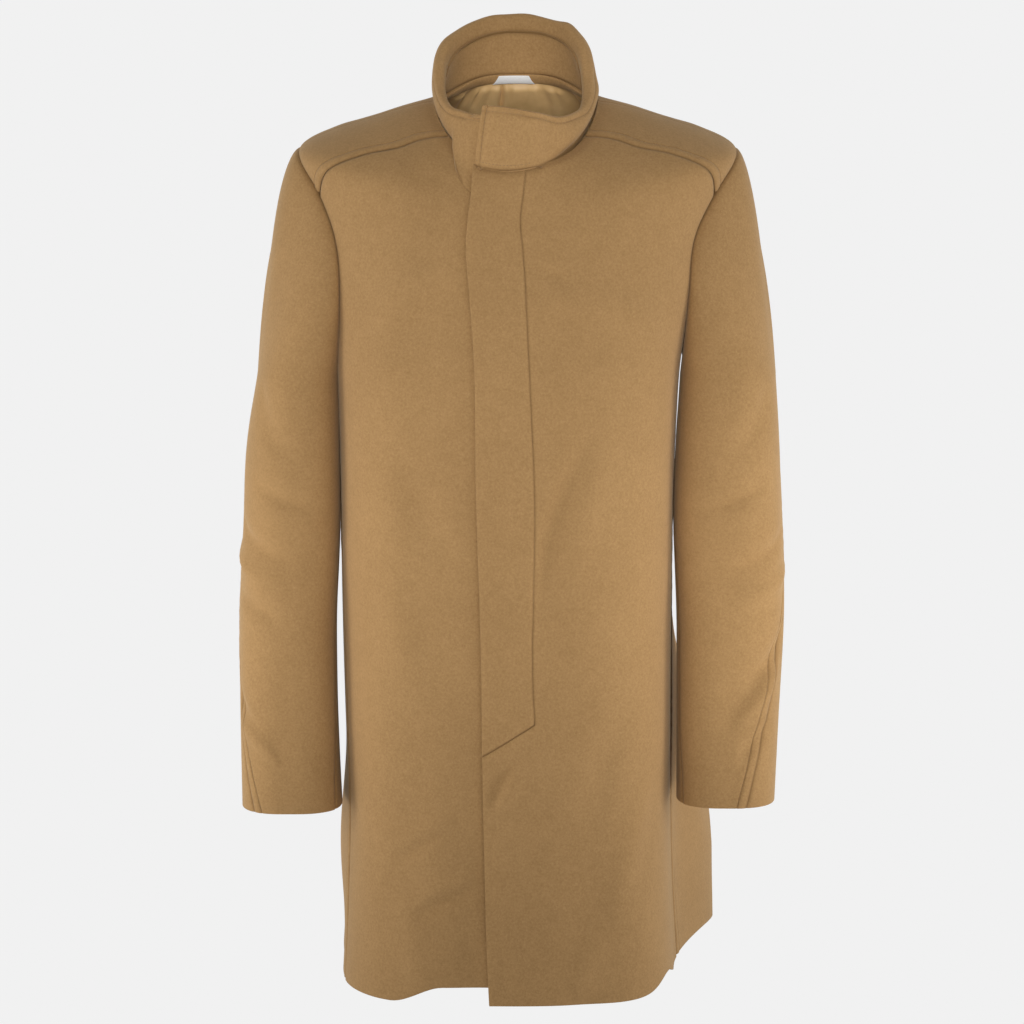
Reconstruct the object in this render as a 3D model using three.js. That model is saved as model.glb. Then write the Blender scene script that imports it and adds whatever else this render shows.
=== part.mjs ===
// A man's wool overcoat in its worn shape, closed in front and empty.
// Millimetres, +Z up. The coat faces -Y, so the wearer's left is +X and the right is -X.
// The origin is where the coat hangs: on its centre line, 20 mm above the shoulder points.

import * as THREE from 'three';

// Driving dimensions of the cloth and its seams
const woolWall = 2.5;
const liningWall = 1.2;
const facingWall = 1.5;
const collarWall = 2.2;
const innerCollarWall = 1.9;
const labelWall = 0.8;
const seamGap = 0.3;
const lapSpan = { from: -50, to: -33 };
const armholeGap = 0.7;
const collarGap = 0.6;
const underLap = 5.2;
const tabLift = 6.2;
const tabEndLift = 3;
const liningInset = 5.5;

// Driving dimensions of the cut
const armpitLevel = -225;
const shoulderLevel = -20;
const neckLevel = 118;
const underEdge = 6;
const underHemRise = 14;
const placketRise = 7;
const neckFrontZ = -31;
const bodyTopLevel = 132;
const underEdgeDepth = 110;
const yokeNeckAngle = 50;
const facingWidth = 9;
const liningDepth = 150;
const liningSideLevel = 58;
const labelSize = { width: 42, height: 8, centreX: -4, radius: 66, below: 1.5 };
const facingRise = 2.2;
const mmPerDegree = 3.3;
const bendPower = 1.3;

const woolColour = 0x9f7b4e;
const satinColour = 0xb0905a;
const labelColour = 0xe4e1da;

// Turns rows of values under named columns into a list of records
function table(columns, rows) {
  const names = columns.split(' ');
  return rows.map((row) => Object.fromEntries(names.map((name, i) => [name, row[i]])));
}

// Body sections from the hem to the neck. The level is the height of the side seam up to the
// shoulder point, and goes on inwards along the shoulder. right and left are half widths,
// front and back are depths, and square is the power of the rounded oval.
const bodySections = table('level right left front back frontZ sideZ backZ square', [
  [-875, 184, 165, 158, 158, -875, -875, -864, 3.0],
  [-790, 179, 161, 155, 154, -790, -790, -790, 3.0],
  [-700, 176, 159, 152, 150, -700, -700, -700, 3.0],
  [-600, 179, 159, 149, 146, -600, -600, -600, 3.0],
  [-500, 181, 159, 146, 142, -500, -500, -500, 2.9],
  [-380, 182, 160, 142, 138, -380, -380, -380, 2.9],
  [-290, 184, 163, 141, 134, -290, -290, -290, 2.8],
  [-225, 187, 168, 140, 131, -226, -225, -222, 2.7],
  [-193, 189, 175, 137, 130, -198, -193, -186, 2.6],
  [-150, 194, 185, 134, 128, -166, -150, -140, 2.45],
  [-93, 202, 194, 127, 121, -128, -93, -82, 2.3],
  [-53, 213, 211, 121, 113, -102, -53, -44, 2.2],
  [-20, 222, 222, 116, 105, -84, -20, -15, 2.1],
  [12, 190, 190, 113, 97, -71, 0, 6, 2.05],
  [34, 168, 168, 111, 92, -63, 9, 18, 2.0],
  [62, 140, 140, 109, 86, -53, 19, 31, 2.0],
  [85, 117, 117, 107, 81, -45, 26, 40, 2.0],
  [105, 97, 96, 105, 77, -36, 31, 47, 2.0],
  [118, 85, 81, 103, 74, -31, 34, 52, 2.0],
  [132, 84, 80, 105, 74, -17, 48, 66, 2.0],
]);

// Large folds of the body. Each runs from a top angle and level to a lower one. depth is outwards,
// halfWidth is in degrees, and hem is 1 where the fold keeps its full depth down to the hem.
const bodyFolds = table('name topAngle topLevel lowAngle lowLevel halfWidth depth hem', [
  ['left back flare', 120, -420, 125, -875, 20, 74, 1],
  ['right back flare', -118, -480, -122, -875, 17, 14, 1],
  ['back fold left', 166, -190, 162, -875, 9, -7, 1],
  ['back fold right', -158, -230, -154, -875, 9, -8, 1],
  ['back ridge', 183, -260, 181, -875, 8, 6, 1],
  ['front drag', 31, -250, 2, -640, 8, -3, 0],
  ['front skirt ridge', -32, -560, -30, -875, 10, 5, 1],
  ['left skirt hollow', 24, -640, 26, -875, 9, -4, 1],
]);

// Line of the over front's free edge, and the line of stitching that bounds the fly strip
const frontEdgeLine = [
  { z: -880, x: -29 }, { z: -806, x: -32 }, { z: -721, x: -34 }, { z: -618, x: -36 },
  { z: -546, x: -36.6 }, { z: -456, x: -38.5 }, { z: -406, x: -40.3 }, { z: -329, x: -42 },
  { z: -234, x: -43 }, { z: -159, x: -47.6 }, { z: -104, x: -51.5 }, { z: -49, x: -45.5 },
  { z: -20, x: -44 },
];
const flyStitchLine = [
  { z: -585, x: 17 }, { z: -528, x: 14.4 }, { z: -425, x: 16.3 }, { z: -348, x: 16.2 },
  { z: -272, x: 13 }, { z: -162, x: 7.9 }, { z: -123, x: 5.9 }, { z: -99, x: 3.5 },
  { z: -69, x: 2.5 }, { z: -49, x: 6.8 }, { z: -20, x: 8 },
];
const flyFoot = { outer: { x: 17, z: -585 }, edge: { x: -36, z: -618 } };

// Levels of the rows of cloth between the hem and the armpit, shared by fronts and back
const rowLevels = [
  -875, -835, -790, -745, -700, -660, -628, -613, -598, -582, -545, -500, -455, -410, -365,
  -320, -285, -252, -225,
];
const flyFootSteps = 3;

// Side seams, as the angle round the body at each level
const sideSeams = {
  right: table('level angle', [[-875, 70], [-700, 70], [-450, 75], [-225, 90]]),
  left: table('level angle', [[-875, 92], [-700, 85], [-450, 87], [-225, 90]]),
};

// Yoke seam from the armhole to the neck
const yokeSeam = [
  { step: 0.0, angle: 76.5, level: -53.7 }, { step: 0.2, angle: 71, level: -22 },
  { step: 0.4, angle: 65, level: 22 }, { step: 0.6, angle: 60, level: 52 },
  { step: 0.8, angle: 57, level: 85 }, { step: 1.0, angle: 50, level: 118 },
];

// Armhole: an upright oval on the body, its nodes counted from the top of the shoulder forwards
// backReach and backRise square off its upper back quarter.
const armhole = {
  steps: 30, frontWidth: 20, backWidth: 20, hollow: 0.18, yokeStep: 4, backReach: 0.75, backRise: 0.4,
};

// Sleeve sections below the armpit. outer and inner are distances from the centre line, and
// elbow is the angle of the elbow seam from the outermost line, positive towards the front.
const sleeveSections = {
  right: [
    { z: -245, outer: 266, inner: 190.5, centreY: 0, halfY: 75, elbow: -52 },
    { z: -300, outer: 274, inner: 189.5, centreY: -3, halfY: 73, elbow: -42 },
    { z: -381, outer: 281, inner: 188.5, centreY: -10, halfY: 69, elbow: -24 },
    { z: -487, outer: 287, inner: 188, centreY: -22, halfY: 62, elbow: -2 },
    { z: -600, outer: 288.5, inner: 186.5, centreY: -37, halfY: 54, elbow: 25 },
    { z: -691, outer: 289, inner: 182, centreY: -50, halfY: 47, elbow: 46 },
  ],
  left: [
    { z: -245, outer: 264, inner: 172.5, centreY: 0, halfY: 75, elbow: -52 },
    { z: -300, outer: 268, inner: 168.5, centreY: -3, halfY: 73, elbow: -34 },
    { z: -381, outer: 272, inner: 165.5, centreY: -10, halfY: 69, elbow: -8 },
    { z: -487, outer: 275, inner: 165, centreY: -22, halfY: 62, elbow: 24 },
    { z: -600, outer: 271.5, inner: 165, centreY: -37, halfY: 54, elbow: 50 },
    { z: -685, outer: 269, inner: 164.5, centreY: -50, halfY: 47, elbow: 68 },
  ],
};
const sleeveHead = { right: 12, left: 9 };
const sleeveHeadLift = 0.6;
const capSteps = [0, 0.04, 0.1, 0.2, 0.34, 0.5, 0.7];
const sleeveRows = [-245, -285, -325, -365, -405, -450, -495, -540, -585, -630, -665];
const sleeveSquare = 2.25;
const elbowAtArmhole = -62;
const foreSeamAngle = 150;
const topSleeveColumns = 15;
const underSleeveColumns = 11;

// Soft dents and ridges on each sleeve: a place, its size round and along, and its depth outwards
const sleeveFolds = {
  right: [
    { name: 'inner elbow', angle: 95, z: -430, halfAngle: 40, halfHeight: 34, slant: 0.2, depth: -5 },
    { name: 'outer upper', angle: 30, z: -330, halfAngle: 34, halfHeight: 60, slant: 0, depth: 3 },
    { name: 'back elbow', angle: 262, z: -450, halfAngle: 45, halfHeight: 30, slant: -0.2, depth: -5 },
  ],
  left: [
    { name: 'inner elbow', angle: 100, z: -440, halfAngle: 40, halfHeight: 34, slant: 0.2, depth: -5 },
    { name: 'forearm', angle: 70, z: -560, halfAngle: 30, halfHeight: 34, slant: -0.5, depth: -5 },
    { name: 'back elbow', angle: 262, z: -450, halfAngle: 45, halfHeight: 30, slant: -0.2, depth: -5 },
  ],
};

// The collar is one band that starts under the over front, goes round by the wearer's right, the
// back and the left, and ends in the free tab. turn is the angle travelled from the centre front,
// hang how far its edge falls below the neckline, rimZ the top of its roll, roll the roll's depth
// and drop its inner fall.
const collarSections = table('turn hang rimZ roll drop', [
  [-6, 0, 15, 6, 6],
  [20, 0, 17, 6, 6],
  [35, 0, 21, 7, 7],
  [53, 0, 29, 9, 8],
  [70, 0, 45, 11, 11],
  [90, 0, 68, 13, 15],
  [120, 0, 95, 14, 17],
  [150, 0, 110, 14, 18],
  [180, 0, 115, 14, 19],
  [210, 0, 110, 14, 18],
  [240, 0, 95, 14, 17],
  [270, 0, 67, 13, 15],
  [290, 0, 43, 11, 11],
  [307, 0, 27, 9, 8],
  [320, 0, 21, 7, 7],
  [337, 0, 17, 6, 6],
  [350, 1.5, 22, 6, 6],
  [366, 4.5, 27, 6, 6],
  [383, 6, 29, 6, 6],
]);
const collarRim = { right: 88, left: 84, front: 108, back: 80 };
const tabSpan = { from: 342, to: 353, end: 383 };
const collarSteps = 43;
const collarTabSlant = 4.5;
const innerCollarSteps = { from: 2, to: 38 };

const radians = (degrees) => (degrees * Math.PI) / 180;
const mix = (a, b, f) => a + (b - a) * f;

function softStep(from, to, value) {
  const f = Math.min(1, Math.max(0, (value - from) / (to - from)));
  return f * f * (3 - 2 * f);
}

// Smooth curve through one column of a table, by cubic pieces with averaged slopes
function along(rows, key, column, at) {
  let i = 0;
  while (i < rows.length - 2 && at > rows[i + 1][key]) i += 1;
  const slope = (a, b) => (b[column] - a[column]) / (b[key] - a[key]);
  const [p, q] = [rows[i], rows[i + 1]];
  const here = slope(p, q);
  const into = i > 0 ? (slope(rows[i - 1], p) + here) / 2 : here;
  const out = i < rows.length - 2 ? (here + slope(q, rows[i + 2])) / 2 : here;
  const span = q[key] - p[key];
  const f = Math.min(1, Math.max(0, (at - p[key]) / span));
  const [f2, f3] = [f * f, f * f * f];
  return (2 * f3 - 3 * f2 + 1) * p[column] + (f3 - 2 * f2 + f) * span * into
    + (3 * f2 - 2 * f3) * q[column] + (f3 - f2) * span * out;
}

const angleBetween = (a, b) => ((a - b + 540) % 360) - 180;

function foldDepth(angle, level) {
  let depth = 0;
  for (const fold of bodyFolds) {
    const f = (fold.topLevel - level) / (fold.topLevel - fold.lowLevel);
    if (f <= 0 || f >= 1.001) continue;
    const swell = fold.hem ? softStep(0, 0.8, f) : Math.sin(Math.PI * f) ** 2;
    const off = angleBetween(angle, mix(fold.topAngle, fold.lowAngle, f)) / fold.halfWidth;
    depth += fold.depth * swell * Math.exp(-off * off);
  }
  return depth;
}

// Radius of a rounded oval in the direction of an angle, 0 in front and 90 on the wearer's left
function ovalRadius(angle, right, left, front, back, square) {
  const [s, c] = [Math.sin(radians(angle)), Math.cos(radians(angle))];
  const wide = Math.abs(s) / (s > 0 ? left : right);
  const deep = Math.abs(c) / (c > 0 ? front : back);
  return (wide ** square + deep ** square) ** (-1 / square);
}

// Height of a ring that is known in front, at the sides and behind
function ringHeight(angle, frontZ, sideZ, backZ) {
  const c = Math.cos(radians(angle));
  const c2 = Math.cos(radians(2 * angle));
  const mean = (frontZ + 2 * sideZ + backZ) / 4;
  return mean + ((frontZ - backZ) / 2) * c + ((frontZ - 2 * sideZ + backZ) / 4) * c2;
}

function bodyPoint(angle, level) {
  const row = (column) => along(bodySections, 'level', column, level);
  const radius = ovalRadius(angle, row('right'), row('left'), row('front'), row('back'), row('square'))
    + foldDepth(angle, level);
  const z = ringHeight(angle, row('frontZ'), row('sideZ'), row('backZ'));
  return new THREE.Vector3(radius * Math.sin(radians(angle)), -radius * Math.cos(radians(angle)), z);
}

// Outward direction of a surface given as a point function of two numbers
function outward(pointAt, a, b, stepA, stepB, sign) {
  const da = pointAt(a + stepA, b).sub(pointAt(a - stepA, b));
  const db = pointAt(a, b + stepB).sub(pointAt(a, b - stepB));
  return da.cross(db).multiplyScalar(sign).normalize();
}

function bodySpot(place, lift) {
  const normal = outward(bodyPoint, place.angle, place.level, 1, 2, 1);
  const point = bodyPoint(place.angle, place.level).addScaledVector(normal, lift);
  return { point, normal };
}

const placingRounds = 12;

// Place on the body, as an angle and a level, of a point of the front given by its x and z
function onFront(x, z) {
  let place = { angle: 0, level: z };
  for (let round = 0; round < placingRounds; round += 1) {
    const point = bodyPoint(place.angle, place.level);
    place = {
      angle: THREE.MathUtils.radToDeg(Math.atan2(x, -point.y)),
      level: Math.min(bodyTopLevel, place.level + z - point.z),
    };
  }
  return place;
}

function onLine(line, z) {
  return onFront(along(line, 'z', 'x', z), z);
}

// Steps from one number to another, both ends included
function steps(from, to, count) {
  return Array.from({ length: count + 1 }, (_, i) => mix(from, to, i / count));
}

// A closed wall over a grid of points: an outer skin, an inner skin and the rim between them
function wall(grid, thickness) {
  const [rows, columns] = [grid.length, grid[0].length];
  const positions = [];
  const index = [];
  for (const depth of [0, thickness]) {
    for (const row of grid) {
      for (const spot of row) {
        const point = spot.point.clone().addScaledVector(spot.normal, -depth);
        positions.push(...point.toArray());
      }
    }
  }
  const inside = rows * columns;
  const at = (r, c) => r * columns + c;
  const quad = (a, b, c, d) => index.push(a, b, c, a, c, d);
  for (let r = 0; r < rows - 1; r += 1) {
    for (let c = 0; c < columns - 1; c += 1) {
      const [p, q, s, t] = [at(r, c), at(r, c + 1), at(r + 1, c + 1), at(r + 1, c)];
      quad(p, q, s, t);
      index.push(p + inside, s + inside, q + inside, p + inside, t + inside, s + inside);
    }
  }
  const loop = [];
  for (let c = 0; c < columns - 1; c += 1) loop.push(at(0, c));
  for (let r = 0; r < rows - 1; r += 1) loop.push(at(r, columns - 1));
  for (let c = columns - 1; c > 0; c -= 1) loop.push(at(rows - 1, c));
  for (let r = rows - 1; r > 0; r -= 1) loop.push(at(r, 0));
  loop.forEach((a, i) => {
    const b = loop[(i + 1) % loop.length];
    if (b > a) quad(a, a + inside, b + inside, b);
    else quad(b, a, a + inside, b + inside);
  });
  const geometry = new THREE.BufferGeometry();
  geometry.setAttribute('position', new THREE.Float32BufferAttribute(positions, 3));
  geometry.setIndex(index);
  return geometry;
}

// Draws the edges of a grid in, so that neighbours are parted by the seam gap
function drawIn(grid, sides) {
  const shift = (edge, next) => {
    const way = next.point.clone().sub(edge.point).normalize();
    return way.multiplyScalar(seamGap / 2);
  };
  const last = grid[0].length - 1;
  const moves = [];
  grid.forEach((row) => {
    if (sides.includes('first')) moves.push([row[0], shift(row[0], row[1])]);
    if (sides.includes('last')) moves.push([row[last], shift(row[last], row[last - 1])]);
  });
  grid[0].forEach((spot, c) => {
    if (sides.includes('low')) moves.push([spot, shift(spot, grid[1][c])]);
    const top = grid[grid.length - 1][c];
    if (sides.includes('top')) moves.push([top, shift(top, grid[grid.length - 2][c])]);
  });
  moves.forEach(([spot, move]) => spot.point.add(move));
  return grid;
}

function turnedOut(geometry) {
  const [p, index] = [geometry.attributes.position, geometry.index.array];
  const [a, b, c] = [new THREE.Vector3(), new THREE.Vector3(), new THREE.Vector3()];
  let volume = 0;
  for (let i = 0; i < index.length; i += 3) {
    a.fromBufferAttribute(p, index[i]);
    b.fromBufferAttribute(p, index[i + 1]);
    c.fromBufferAttribute(p, index[i + 2]);
    volume += a.dot(b.cross(c));
  }
  if (volume < 0) {
    for (let i = 0; i < index.length; i += 3) [index[i], index[i + 1]] = [index[i + 1], index[i]];
  }
  geometry.computeVertexNormals();
  return geometry;
}

const wool = { color: woolColour, roughness: 0.92, metalness: 0 };
const satin = { color: satinColour, roughness: 0.42, metalness: 0 };
const paperWhite = { color: labelColour, roughness: 0.7, metalness: 0 };
const coat = new THREE.Group();

function addPiece(name, geometry, finish) {
  const mesh = new THREE.Mesh(turnedOut(geometry), new THREE.MeshStandardMaterial(finish));
  mesh.name = name;
  coat.add(mesh);
}

// Armhole place of the wearer's right (-1) or left (+1) side at an angle counted from the ridge
function armholePlace(side, turn, inset) {
  const half = (shoulderLevel - armpitLevel) / 2 - inset;
  const [s, c] = [Math.sin(radians(turn)), Math.cos(radians(turn))];
  const degreesInset = inset / mmPerDegree;
  const reach = s > 0
    ? -(armhole.frontWidth - degreesInset) * s * (1 - armhole.hollow * c)
    : (armhole.backWidth - degreesInset) * (-s) ** armhole.backReach;
  const height = s < -1e-9 && c > 0 ? c ** armhole.backRise : c;
  return { angle: side * (90 + reach), level: (shoulderLevel + armpitLevel) / 2 + half * height };
}

function armholeRun(side, fromStep, toStep) {
  const count = Math.abs(toStep - fromStep);
  return steps(fromStep, toStep, count).map((i) => armholePlace(side, (360 * i) / armhole.steps, 0));
}

// Rows of a panel between two edges, with the top and bottom rows bent to their own lines
function panelPlaces(inner, outer, columns, topRow, bendFrom) {
  const last = inner.length - 1;
  return inner.map((from, r) => columns.map((u, c) => {
    const to = outer[r];
    const bend = Math.max(0, (r - bendFrom) / (last - bendFrom)) ** bendPower;
    const straight = (key) => mix(from[key], to[key], u);
    const lean = (key) => topRow[c][key] - mix(inner[last][key], outer[last][key], u);
    return { angle: straight('angle') + bend * lean('angle'), level: straight('level') + bend * lean('level') };
  }));
}

function yokeRow(side, columns) {
  return columns.map((u) => ({
    angle: side * along(yokeSeam, 'step', 'angle', 1 - u),
    level: along(yokeSeam, 'step', 'level', 1 - u),
  }));
}

const sideOf = { right: -1, left: 1 };
const frontColumns = [0, 0.1, 0.2, 0.3, 0.4, 0.5, 0.6, 0.69, 0.77, 0.84, 0.91, 1];

function seamRun(hand) {
  return rowLevels.map((level) => ({
    angle: sideOf[hand] * along(sideSeams[hand], 'level', 'angle', level), level,
  }));
}

// How far the under front and the under collar lie inside the over front
function lapAt(angle) {
  return -underLap * softStep(lapSpan.from, lapSpan.to, angle);
}

// Outer edge of a front: up the side seam and the armhole to the yoke seam
function frontOuter(hand) {
  const up = armholeRun(sideOf[hand], armhole.steps / 2, armhole.yokeStep);
  return [...seamRun(hand), ...up.slice(1)];
}

// Neckline places from an angle to the yoke seam
function neckRun(from, to, count) {
  return steps(from, to, count).map((angle) => ({ angle, level: neckLevel }));
}

function addFrontRight() {
  const outer = frontOuter('right');
  const neckCount = 5;
  const upCount = outer.length - rowLevels.length - neckCount;
  const edgeAngle = THREE.MathUtils.radToDeg(Math.atan2(underEdge, underEdgeDepth));
  const edge = [...rowLevels, ...steps(armpitLevel, neckLevel, upCount).slice(1)];
  const inner = edge.map((level) => ({ angle: edgeAngle, level }));
  inner.push(...neckRun(edgeAngle, -yokeNeckAngle, neckCount).slice(1));
  const places = panelPlaces(inner, outer, frontColumns, yokeRow(-1, frontColumns), rowLevels.length);
  places[0].forEach((place) => {
    place.level += underHemRise * softStep(-40, -8, place.angle);
  });
  const grid = places.map((row) => row.map((place) => bodySpot(place, lapAt(place.angle))));
  addPiece('front_right', wall(drawIn(grid, ['last', 'top']), woolWall), wool);
}

// Stitching line of the fly from its foot to the neckline, shared by the strip and the over front
const flyHeights = [
  -585, -548, -502, -456, -410, -365, -320, -285, -252, -222, -194, -166, -138, -110, -82, -56,
];

function addFrontLeft() {
  const outer = frontOuter('left');
  const below = [-880, -840, -795, -750, -705, -660, -618].map((z) => onLine(frontEdgeLine, z));
  const foot = steps(0, 1, flyFootSteps).slice(1, -1).map((f) => onFront(
    mix(flyFoot.edge.x, flyFoot.outer.x, f), mix(flyFoot.edge.z, flyFoot.outer.z, f),
  ));
  const stitch = flyHeights.map((z) => onLine(flyStitchLine, z));
  const corner = { angle: onLine(flyStitchLine, neckFrontZ).angle, level: neckLevel };
  const inner = [...below, ...foot, ...stitch, corner];
  const neckCount = outer.length - inner.length;
  inner.push(...neckRun(corner.angle, yokeNeckAngle, neckCount).slice(1));
  const places = panelPlaces(inner, outer, frontColumns, yokeRow(1, frontColumns), rowLevels.length);
  const grid = places.map((row) => row.map((place) => bodySpot(place, 0)));
  addPiece('front_left', wall(drawIn(grid, ['first', 'last', 'top']), woolWall), wool);
}

function addPlacket() {
  const foot = steps(0, 1, flyFootSteps).map((f) => onFront(
    mix(flyFoot.edge.x, flyFoot.outer.x, f), mix(flyFoot.edge.z, flyFoot.outer.z, f),
  ));
  const heights = [...flyHeights.slice(1), neckFrontZ, neckFrontZ + placketRise];
  const rows = heights.map((z) => {
    const edge = onLine(frontEdgeLine, z);
    const neckCorner = { angle: onLine(flyStitchLine, neckFrontZ).angle, level: onFront(0, z).level };
    const stitch = z > neckFrontZ ? neckCorner : onLine(flyStitchLine, z);
    return foot.map((_, i) => {
      const f = i / flyFootSteps;
      return { angle: mix(edge.angle, stitch.angle, f), level: mix(edge.level, stitch.level, f) };
    });
  });
  const grid = [foot, ...rows].map((row) => row.map((place) => bodySpot(place, 0)));
  addPiece('placket', wall(drawIn(grid, ['last', 'low']), woolWall), wool);
}

// Shoulder ridge from the armhole to the neck
function ridgeRun(side, count) {
  return steps(shoulderLevel, neckLevel, count).map((level) => ({ angle: side * 90, level }));
}

function addYoke(hand) {
  const side = sideOf[hand];
  const low = yokeRow(side, frontColumns);
  const high = ridgeRun(side, frontColumns.length - 1).reverse();
  const rowsUp = armhole.yokeStep;
  const armEdge = armholeRun(side, armhole.yokeStep, 0);
  const places = steps(0, 1, rowsUp).map((v, r) => frontColumns.map((u, c) => {
    const place = { angle: mix(low[c].angle, high[c].angle, v), level: mix(low[c].level, high[c].level, v) };
    const end = low.length - 1;
    const pull = u ** 4;
    place.angle += pull * (armEdge[r].angle - mix(low[end].angle, high[end].angle, v));
    place.level += pull * (armEdge[r].level - mix(low[end].level, high[end].level, v));
    return place;
  }));
  const grid = places.map((row) => row.map((place) => bodySpot(place, 0)));
  addPiece(`yoke_${hand}`, wall(drawIn(grid, ['last', 'low', 'top']), woolWall), wool);
}

function addBack() {
  const ridgeColumns = 7;
  const neckColumns = 14;
  const half = armhole.steps / 2;
  const up = (side) => armholeRun(side, half, armhole.steps).slice(1);
  const leftEdge = [...seamRun('left'), ...up(1)];
  const rightEdge = [...seamRun('right'), ...up(-1)].map((p) => ({ angle: p.angle + 360, level: p.level }));
  const topRow = [
    ...ridgeRun(1, ridgeColumns),
    ...neckRun(90, 270, neckColumns).slice(1, -1),
    ...ridgeRun(1, ridgeColumns).reverse().map((p) => ({ angle: 270, level: p.level })),
  ];
  const count = topRow.length - 1;
  const columns = steps(0, 1, count);
  const places = panelPlaces(leftEdge, rightEdge, columns, topRow, rowLevels.length - 4);
  const grid = places.map((row) => row.map((place) => bodySpot(place, 0)));
  addPiece('back', wall(drawIn(grid, ['first', 'last', 'top']), woolWall), wool);
}

// Point of a sleeve: s from 0 to 1 is the cap, above 1 it is the height below the armpit ring
function sleevePoint(hand, turn, row) {
  const side = sideOf[hand];
  const sections = sleeveSections[hand];
  const first = sections[0];
  const heightRows = sections.map((section) => ({ ...section, down: -section.z }));
  const ring = (z) => {
    const get = (column) => along(heightRows, 'down', column, -z);
    const [outer, inner, middleY, halfY] = [get('outer'), get('inner'), get('centreY'), get('halfY')];
    const [s, c] = [Math.sin(radians(turn)), Math.cos(radians(turn))];
    const halfX = (outer - inner) / 2;
    const [wide, deep] = [Math.abs(c) / halfX, Math.abs(s) / halfY];
    let radius = (wide ** sleeveSquare + deep ** sleeveSquare) ** (-1 / sleeveSquare);
    for (const fold of sleeveFolds[hand]) {
      const round = angleBetween(turn, fold.angle);
      const rise = (z - fold.z - fold.slant * round) / fold.halfHeight;
      radius += fold.depth * Math.exp(-((round / fold.halfAngle) ** 2) - rise * rise);
    }
    return new THREE.Vector3(side * ((outer + inner) / 2 + radius * c), middleY - radius * s, z);
  };
  if (row <= 0) {
    const f = 1 + row;
    const place = armholePlace(side, turn, armholeGap);
    const start = bodySpot(place, sleeveHeadLift).point;
    const end = ring(first.z);
    const swell = sleeveHead[hand] * Math.sin(Math.PI * Math.sqrt(f)) * (1 + Math.cos(radians(turn))) / 2;
    const point = start.lerp(end, f);
    point.x += side * swell * Math.cos(radians(turn));
    point.y -= swell * Math.sin(radians(turn));
    return point;
  }
  return ring(first.z - row);
}

function sleeveElbow(hand, row) {
  const sections = sleeveSections[hand];
  if (row <= 0) return mix(elbowAtArmhole, sections[0].elbow, 1 + row);
  const downRows = sections.map((section) => ({ down: sections[0].z - section.z, elbow: section.elbow }));
  return along(downRows, 'down', 'elbow', row);
}

function addSleeve(hand) {
  const side = sideOf[hand];
  const sections = sleeveSections[hand];
  const top = sections[0].z;
  const cuff = sections[sections.length - 1].z;
  const rows = [...capSteps.map((f) => f - 1), ...sleeveRows.map((z) => top - z), top - cuff];
  const pieces = [
    {
      name: `sleeve_top_${hand}`,
      columns: topSleeveColumns,
      from: (row) => sleeveElbow(hand, row),
      to: () => foreSeamAngle,
    },
    {
      name: `sleeve_under_${hand}`,
      columns: underSleeveColumns,
      from: () => foreSeamAngle,
      to: (row) => sleeveElbow(hand, row) + 360,
    },
  ];
  for (const piece of pieces) {
    const at = (u, row) => sleevePoint(hand, mix(piece.from(row), piece.to(row), u), row);
    const grid = rows.map((row) => steps(0, 1, piece.columns).map((u) => {
      const inner = Math.max(-1 + 0.002, Math.min(top - cuff, row));
      const stepRow = row <= 0 ? 0.002 : 0.5;
      const normal = outward((a, b) => at(a, b), u, inner, 0.002, stepRow, side);
      return { point: at(u, row), normal };
    }));
    addPiece(piece.name, wall(drawIn(grid, ['first', 'last']), woolWall), wool);
  }
}

function collarRow(turn) {
  const get = (column) => along(collarSections, 'turn', column, turn);
  const angle = -turn;
  const neck = bodyPoint(angle, neckLevel);
  const overlap = turn > 180
    ? tabLift * softStep(tabSpan.from, tabSpan.to, turn) + tabEndLift * softStep(tabSpan.to, tabSpan.end, turn)
    : lapAt(angle);
  return {
    angle,
    seamRadius: Math.hypot(neck.x, neck.y) + overlap,
    rimRadius: ovalRadius(angle, collarRim.right, collarRim.left, collarRim.front, collarRim.back, 2) + overlap,
    seamZ: neck.z + collarGap - get('hang'),
    rimZ: get('rimZ'),
    roll: get('roll'),
    drop: get('drop'),
  };
}

// Profile of the outer collar as radius and height, from its seam over the roll to the crease
function collarProfile(row) {
  const { seamRadius, rimRadius, seamZ, rimZ, roll, drop } = row;
  const rise = rimZ - seamZ;
  const bow = 1.5;
  const knee = roll * 0.5;
  return [
    [seamRadius, seamZ],
    [mix(seamRadius, rimRadius, 0.3) + bow, seamZ + rise * 0.25],
    [mix(seamRadius, rimRadius, 0.65) + bow, seamZ + (rise - knee) * 0.6],
    [rimRadius, rimZ - knee],
    [rimRadius - roll * 0.15, rimZ - knee * 0.3],
    [rimRadius - roll * 0.5, rimZ],
    [rimRadius - roll * 0.85, rimZ - knee * 0.35],
    [rimRadius - roll, rimZ - Math.max(knee, drop * 0.6)],
    [rimRadius - roll, rimZ - drop],
  ];
}

// Spots of a profile set up at an angle, with their outward directions in the profile's plane
function profileSpots(profile, angle) {
  const [s, c] = [Math.sin(radians(angle)), Math.cos(radians(angle))];
  return profile.map(([radius, z], i) => {
    const before = profile[Math.max(0, i - 1)];
    const after = profile[Math.min(profile.length - 1, i + 1)];
    const [dr, dz] = [after[0] - before[0], after[1] - before[1]];
    const length = Math.hypot(dr, dz);
    const [nr, nz] = [dz / length, -dr / length];
    return {
      point: new THREE.Vector3(radius * s, -radius * c, z),
      normal: new THREE.Vector3(nr * s, -nr * c, nz),
    };
  });
}

const collarTurns = steps(collarSections[0].turn, collarSections[collarSections.length - 1].turn, collarSteps);

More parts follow.
